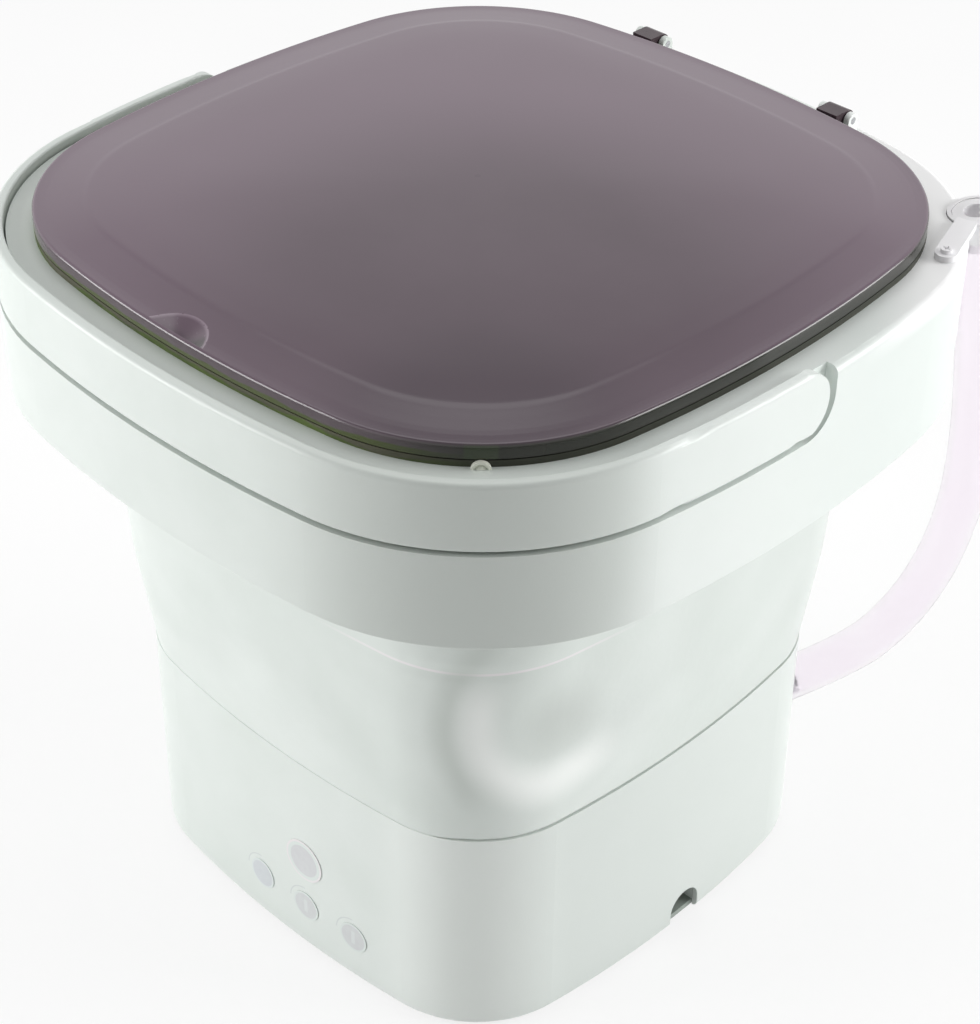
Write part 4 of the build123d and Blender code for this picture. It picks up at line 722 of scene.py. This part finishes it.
def dishLevel(x, y):  # height of the finger dish's ball below the lid's top, or None outside it
    dish = lidShape["dish"]
    ball = (dish["width"] ** 2 / 4 + dish["depth"] ** 2) / (2 * dish["depth"])
    away = sqrt(ball ** 2 - (ball - dish["depth"]) ** 2)
    reach = (x - dish["x"]) ** 2 + (y + lidShape["half"] - dish["reach"] + away) ** 2
    if reach >= ball ** 2:
        return None
    return 303.0 - dish["depth"] + ball - sqrt(ball ** 2 - reach)


def domeHeight(half):
    dome = lidShape["dome"]
    for (highZ, highHalf), (lowZ, lowHalf) in zip(dome, dome[1:]):
        if lowHalf <= half <= highHalf:
            return highZ + (lowZ - highZ) * (highHalf - half) / (highHalf - lowHalf)
    return dome[-1][0]


def placeKey(place):
    return tuple(round(v * 1e6) for v in place)


def makeLid():
    dish = lidShape["dish"]
    spots = planSpots(48, 64, fine=(-2.6, 2.0, 110))
    levels = [(z, half, "inside") for z, half in lidShape["inside"]]
    levels += [(z, half, "outside") for z, half in lidShape["outside"]]
    half = dish["lip"] - 0.15
    while half > lidShape["half"] - dish["reach"] - 2.5:
        levels.append((domeHeight(half), half, "top"))
        half -= dish["step"]
    levels += [(z, lowHalf, "top") for z, lowHalf in lidShape["dome"] if lowHalf < half]
    rings = []
    marks = {}  # how deep each point of the top lies in the dish, for the material
    for z, half, part in levels:
        ring = []
        for spot in spots:
            flat = planPoint(spot, half)
            height = z
            level = dishLevel(flat.x, flat.y) if part != "outside" else None
            depth = z - level if level is not None and part == "top" else -1
            if level is not None and part == "top":
                height = min(z, level)
            if level is not None and part == "inside" and 300.0 < z:
                height = min(z, level - dish["wall"])
            ring.append((flat.x * mm, flat.y * mm, height * mm))
            marks[placeKey(ring[-1])] = max(-1, depth)
        rings.append(ring)
    piece = ringSkin("lidShell", rings, closed=True)
    mark = piece.data.attributes.new("dish", "FLOAT", "POINT")
    for index, vert in enumerate(piece.data.vertices):
        mark.data[index].value = marks.get(placeKey(vert.co), -1)
    wake(piece)
    bpy.ops.object.mode_set(mode="EDIT")
    bpy.ops.mesh.select_all(action="SELECT")
    bpy.ops.mesh.normals_make_consistent(inside=False)
    bpy.ops.object.mode_set(mode="OBJECT")
    smooth(piece, 18)
    return piece


lidShell = makeLid()


def cutWith(piece, cutter, operation):
    wake(piece)
    cut = piece.modifiers.new("cut", "BOOLEAN")
    cut.operation = operation
    cut.solver = "EXACT"
    cut.object = cutter
    bpy.ops.object.modifier_apply(modifier=cut.name)
    bpy.data.objects.remove(cutter)


def addBlock(name, low, high):
    bpy.ops.object.select_all(action="DESELECT")
    middle = [(a + b) / 2 * mm for a, b in zip(low, high)]
    size = [(b - a) * mm for a, b in zip(low, high)]
    bpy.ops.mesh.primitive_cube_add(size=1, location=middle, scale=size)
    piece = bpy.context.object
    piece.name = name
    settle(piece)
    return piece


def addRod(name, start, end, radius, sides=48):
    bpy.ops.object.select_all(action="DESELECT")
    way = (Vector(end) - Vector(start)) * mm
    middle = (Vector(end) + Vector(start)) / 2 * mm
    turn = way.to_track_quat("Z", "Y").to_euler()
    bpy.ops.mesh.primitive_cylinder_add(vertices=sides, radius=radius * mm, depth=way.length,
                                        location=middle, rotation=turn)
    piece = bpy.context.object
    piece.name = name
    settle(piece)
    return piece


def makeLug(name, x):
    lug = lidShape["lug"]
    low, high = x - lug["width"] / 2, x + lug["width"] / 2
    piece = addRod(name, (low, lug["y"], lug["z"]), (high, lug["y"], lug["z"]), lug["radius"])
    armStart = (low, lug["y"] - lug["reach"] - 1.2, lug["z"] - 0.2)
    arm = addBlock("lugArm", armStart, (high, lug["y"], lug["z"] + lug["radius"]))
    cutWith(piece, arm, "UNION")
    bore = addRod("lugBore", (low - 1, lug["y"], lug["z"]), (high + 1, lug["y"], lug["z"]), 1.6, 32)
    cutWith(piece, bore, "DIFFERENCE")
    wake(piece)
    edges = piece.modifiers.new("edges", "BEVEL")
    edges.width = lug["edge"] * mm
    edges.segments = 6
    edges.limit_method = "ANGLE"
    edges.angle_limit = radians(40)
    bpy.ops.object.modifier_apply(modifier=edges.name)
    smooth(piece, 40)
    return piece


leftLug = makeLug("leftLidLug", -lidShape["lug"]["x"])
rightLug = makeLug("rightLidLug", lidShape["lug"]["x"])

lidFinish = {
    # painted reflection: inner and outer are the lid's tones towards and away from a point right of and in front of
    # its middle
    "inner": tone(84, 69, 79),
    "outer": tone(115, 97, 110),
    # painted shade round the lid's near corner
    "nearCorner": ((0.105, -0.105), (0.02, 0.07), tone(70, 58, 67), 0.7),
    "mottle": tone(106, 90, 101),
    "skirt": tone(98, 86, 93),
    "green": tone(80, 90, 46),
    # painted shade: the dark tone for the skirt along the right side and for the dish's corner
    "dark": tone(42, 41, 35),
    # painted highlight on the dish's back edge
    "rim": tone(176, 160, 172),
    "windowGreen": tone(50, 60, 38),
    "dishCorner": (0.0080, -0.1415),
    "paintedReflectionCentre": (0.05, -0.04),
    "paintedReflectionReach": (0.045, 0.15),
    "window": (0.1168, -0.1168),
    "windowReach": (0.0048, 0.0062),
    "gate": ((-0.0034, 0.0017), (0.0009, 0.0014), tone(84, 69, 80), 0.6),
    "skirtTop": (0.3022, 0.3030),
    "greenTop": (0.2984, 0.2994),
}


def smokePlastic():
    material, tree, shader, place = startMaterial("smokePlastic")
    # painted reflection: the lid's top is paler further out from a point right of and in front of its middle
    reach = planDistance(tree, place, lidFinish["paintedReflectionCentre"])
    outside = rescale(tree, reach, lidFinish["paintedReflectionReach"][0], lidFinish["paintedReflectionReach"][1], 0, 1, True)
    colour = mixColour(tree, outside, lidFinish["inner"], lidFinish["outer"])
    mottle = noise(tree, place, 16, 5)
    colour = mixColour(tree, rescale(tree, mottle, 0.3, 0.7, 0, 0.25), colour, lidFinish["mottle"])
    # painted shade round the lid's near corner
    centre, (low, high), tint, share = lidFinish["nearCorner"]
    colour = mixColour(tree, rescale(tree, planDistance(tree, place, centre), low, high, share, 0, True), colour, tint)
    x, y, z = axes(tree, place)
    centre, (low, high), tint, share = lidFinish["gate"]
    gate = rescale(tree, planDistance(tree, place, centre), low, high, share, 0, True)
    colour = mixColour(tree, gate, colour, tint)
    # the skirt lets the green seal through below, and has painted shade from the near corner along the right side
    dishNode = tree.nodes.new("ShaderNodeAttribute")
    dishNode.attribute_name = "dish"
    inDish = dishNode.outputs["Fac"]
    onSkirt = rescale(tree, z, *lidFinish["skirtTop"], 1, 0, True)
    onSkirt = math(tree, "MULTIPLY", onSkirt, rescale(tree, inDish, -0.1, 0.1, 1, 0))
    waves = noise(tree, place, 34, 3)
    level = math(tree, "ADD", z, math(tree, "MULTIPLY", math(tree, "SUBTRACT", waves, 0.5), 0.004))
    nearSeal = rescale(tree, level, *lidFinish["greenTop"], 1, 0, True)
    skirt = mixColour(tree, nearSeal, lidFinish["skirt"], lidFinish["green"])
    # painted shade on the skirt along the right side
    skirt = mixColour(tree, rightShade(tree, place), skirt, lidFinish["dark"])
    toWindow = planDistance(tree, place, lidFinish["window"])
    window = rescale(tree, toWindow, *lidFinish["windowReach"], 0.9, 0, True)
    skirt = mixColour(tree, window, skirt, lidFinish["windowGreen"])
    colour = mixColour(tree, onSkirt, colour, skirt)
    # the dish has a painted highlight on its back edge and painted shade in the corner at the right of its lip
    rimFade = rescale(tree, inDish, 0.05, 0.6, 1, 0, True)
    rim = math(tree, "MULTIPLY", rescale(tree, inDish, -0.1, 0.05, 0, 0.45), rimFade)
    colour = mixColour(tree, rim, colour, lidFinish["rim"])
    # painted shade in the dish's corner at the right of its lip
    corner = rescale(tree, planDistance(tree, place, lidFinish["dishCorner"]), 0.001, 0.007, 0.75, 0, True)
    corner = math(tree, "MULTIPLY", corner, rescale(tree, inDish, 0.1, 0.5, 0, 1))
    colour = mixColour(tree, corner, colour, lidFinish["dark"])
    tree.links.new(colour, shader.inputs["Base Color"])
    shader.inputs["Roughness"].default_value = 0.2
    shader.inputs["IOR"].default_value = 1.6
    bump(tree, shader, noise(tree, place, 45, 3), 0.00005, 0.6)
    return material


def lugPlastic():
    material, tree, shader, place = startMaterial("lugPlastic")
    mottle = noise(tree, place, 120, 4)
    colour = ramp(tree, mottle, [(0.3, tone(62, 48, 54)), (0.7, tone(76, 61, 68))])
    tree.links.new(colour, shader.inputs["Base Color"])
    shader.inputs["Roughness"].default_value = 0.25
    bump(tree, shader, noise(tree, place, 900, 2), 0.00002)
    return material


lidShell.data.materials.append(smokePlastic())
lugMaterial = lugPlastic()
for piece in (leftLug, rightLug):
    piece.data.materials.append(lugMaterial)
for piece in (lidShell, leftLug, rightLug):
    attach(piece, "lid")
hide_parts("lid")
print("lid made")

# round stop for the lid, moulded on the deck at the near corner
deckNub = {"reach": (165.2, 166.6), "radius": 3.4, "middleZ": 293.9, "rim": 0.7, "sink": 0.7}


def makeDeckNub():
    near, far = [(reach / sqrt(2), -reach / sqrt(2), deckNub["middleZ"]) for reach in deckNub["reach"]]
    piece = addRod("deckNub", near, far, deckNub["radius"], 64)
    bpy.ops.object.mode_set(mode="EDIT")
    bpy.ops.mesh.select_all(action="DESELECT")
    shape = bmesh.from_edit_mesh(piece.data)
    outward = Vector((1, -1, 0)).normalized()
    for face in shape.faces:
        face.select = face.normal.dot(outward) > 0.9
    bmesh.update_edit_mesh(piece.data)
    for push in (0.25, -deckNub["sink"], deckNub["sink"]):
        bpy.ops.mesh.inset(thickness=deckNub["rim"] * mm)
        bpy.ops.transform.translate(value=tuple(outward * push * mm))
    bpy.ops.mesh.select_all(action="SELECT")
    bpy.ops.mesh.bisect(plane_co=(0, 0, 294.5 * mm), plane_no=(0, 0, 1), clear_inner=True, use_fill=True)
    bpy.ops.object.mode_set(mode="OBJECT")
    smooth(piece, 50)
    return piece


nub = makeDeckNub()
nub.data.materials.append(plastics["nubCream"])
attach(nub, "rim")

print("small pieces made")

# studio: white all round for the camera, soft lamps at both sides
studio = {
    "floorSize": 6.0,
    "ambient": 0.44,
    "nearAmbient": 0.12,
    "reflectedSky": (0.45, 0.73, 0.3),
    "lamps": [
        {"name": "leftLamp", "place": (-1.2, -1.4, 0.7), "size": (1.2, 1.0), "power": 25},
        {"name": "rightLamp", "place": (1.4, 1.2, 0.75), "size": (1.2, 1.0), "power": 27},
        {"name": "topLamp", "place": (-0.3, 0.35, 1.7), "size": (1.2, 1.2), "power": 6},
    ],
    "aim": (0, 0, 0.17),
}


def addLamp(lamp):
    lampData = bpy.data.lights.new(lamp["name"], "AREA")
    lampData.shape = "RECTANGLE"
    lampData.size, lampData.size_y = lamp["size"]
    lampData.energy = lamp["power"]
    lampObject = bpy.data.objects.new(lamp["name"], lampData)
    bpy.context.scene.collection.objects.link(lampObject)
    lampObject.location = lamp["place"]
    way = Vector(studio["aim"]) - Vector(lamp["place"])
    lampObject.rotation_euler = way.to_track_quat("-Z", "Y").to_euler()


for lamp in studio["lamps"]:
    addLamp(lamp)


def whiteForView(tree):  # one where the camera, a reflection or a clear piece looks
    path = tree.nodes.new("ShaderNodeLightPath")
    seen = math(tree, "MAXIMUM", path.outputs["Is Camera Ray"], path.outputs["Is Glossy Ray"])
    return math(tree, "MAXIMUM", seen, path.outputs["Is Transmission Ray"])


def makeWorld():
    world = bpy.data.worlds.new("studioWorld")
    bpy.context.scene.world = world
    world.use_nodes = True
    tree = world.node_tree
    background = tree.nodes["Background"]
    background.inputs["Color"].default_value = (1, 1, 1, 1)
    direction = tree.nodes.new("ShaderNodeTexCoord").outputs["Generated"]
    x, y, z = axes(tree, direction)
    nearSide = math(tree, "MULTIPLY", math(tree, "SUBTRACT", x, y), 0.7071)
    ambient = rescale(tree, nearSide, 0.1, 0.9, studio["ambient"], studio["nearAmbient"], True)
    seen = whiteForView(tree)
    unseen = math(tree, "MULTIPLY", math(tree, "SUBTRACT", 1.0, seen), ambient)
    # reflections find a paler sky low down and a darker one overhead
    reflected = tree.nodes.new("ShaderNodeLightPath").outputs["Is Glossy Ray"]
    low, high, least = studio["reflectedSky"]
    fade = rescale(tree, z, low, high, 0, 1 - least, True)
    kept = math(tree, "SUBTRACT", 1.0, math(tree, "MULTIPLY", reflected, fade))
    strength = math(tree, "MULTIPLY", math(tree, "ADD", seen, unseen), kept)
    tree.links.new(strength, background.inputs["Strength"])


def makeFloor():
    bpy.ops.object.select_all(action="DESELECT")
    bpy.ops.mesh.primitive_plane_add(size=studio["floorSize"])
    floor = bpy.context.object
    floor.name = "studioFloor"
    material, tree, shader, place = startMaterial("floorWhite")
    grain = noise(tree, place, 6, 2)
    colour = ramp(tree, grain, [(0.3, tone(246, 246, 246)), (0.7, tone(252, 252, 252))])
    tree.links.new(colour, shader.inputs["Base Color"])
    shader.inputs["Roughness"].default_value = 0.9
    glow = tree.nodes.new("ShaderNodeEmission")
    glow.inputs["Strength"].default_value = 1.0
    mix = tree.nodes.new("ShaderNodeMixShader")
    tree.links.new(math(tree, "MULTIPLY", whiteForView(tree), 0.8), mix.inputs["Fac"])
    tree.links.new(shader.outputs[0], mix.inputs[1])
    tree.links.new(glow.outputs[0], mix.inputs[2])
    tree.links.new(mix.outputs[0], tree.nodes["Material Output"].inputs["Surface"])
    floor.data.materials.append(material)


makeWorld()
makeFloor()
bpy.context.scene.view_settings.view_transform = "Standard"
print("studio made")
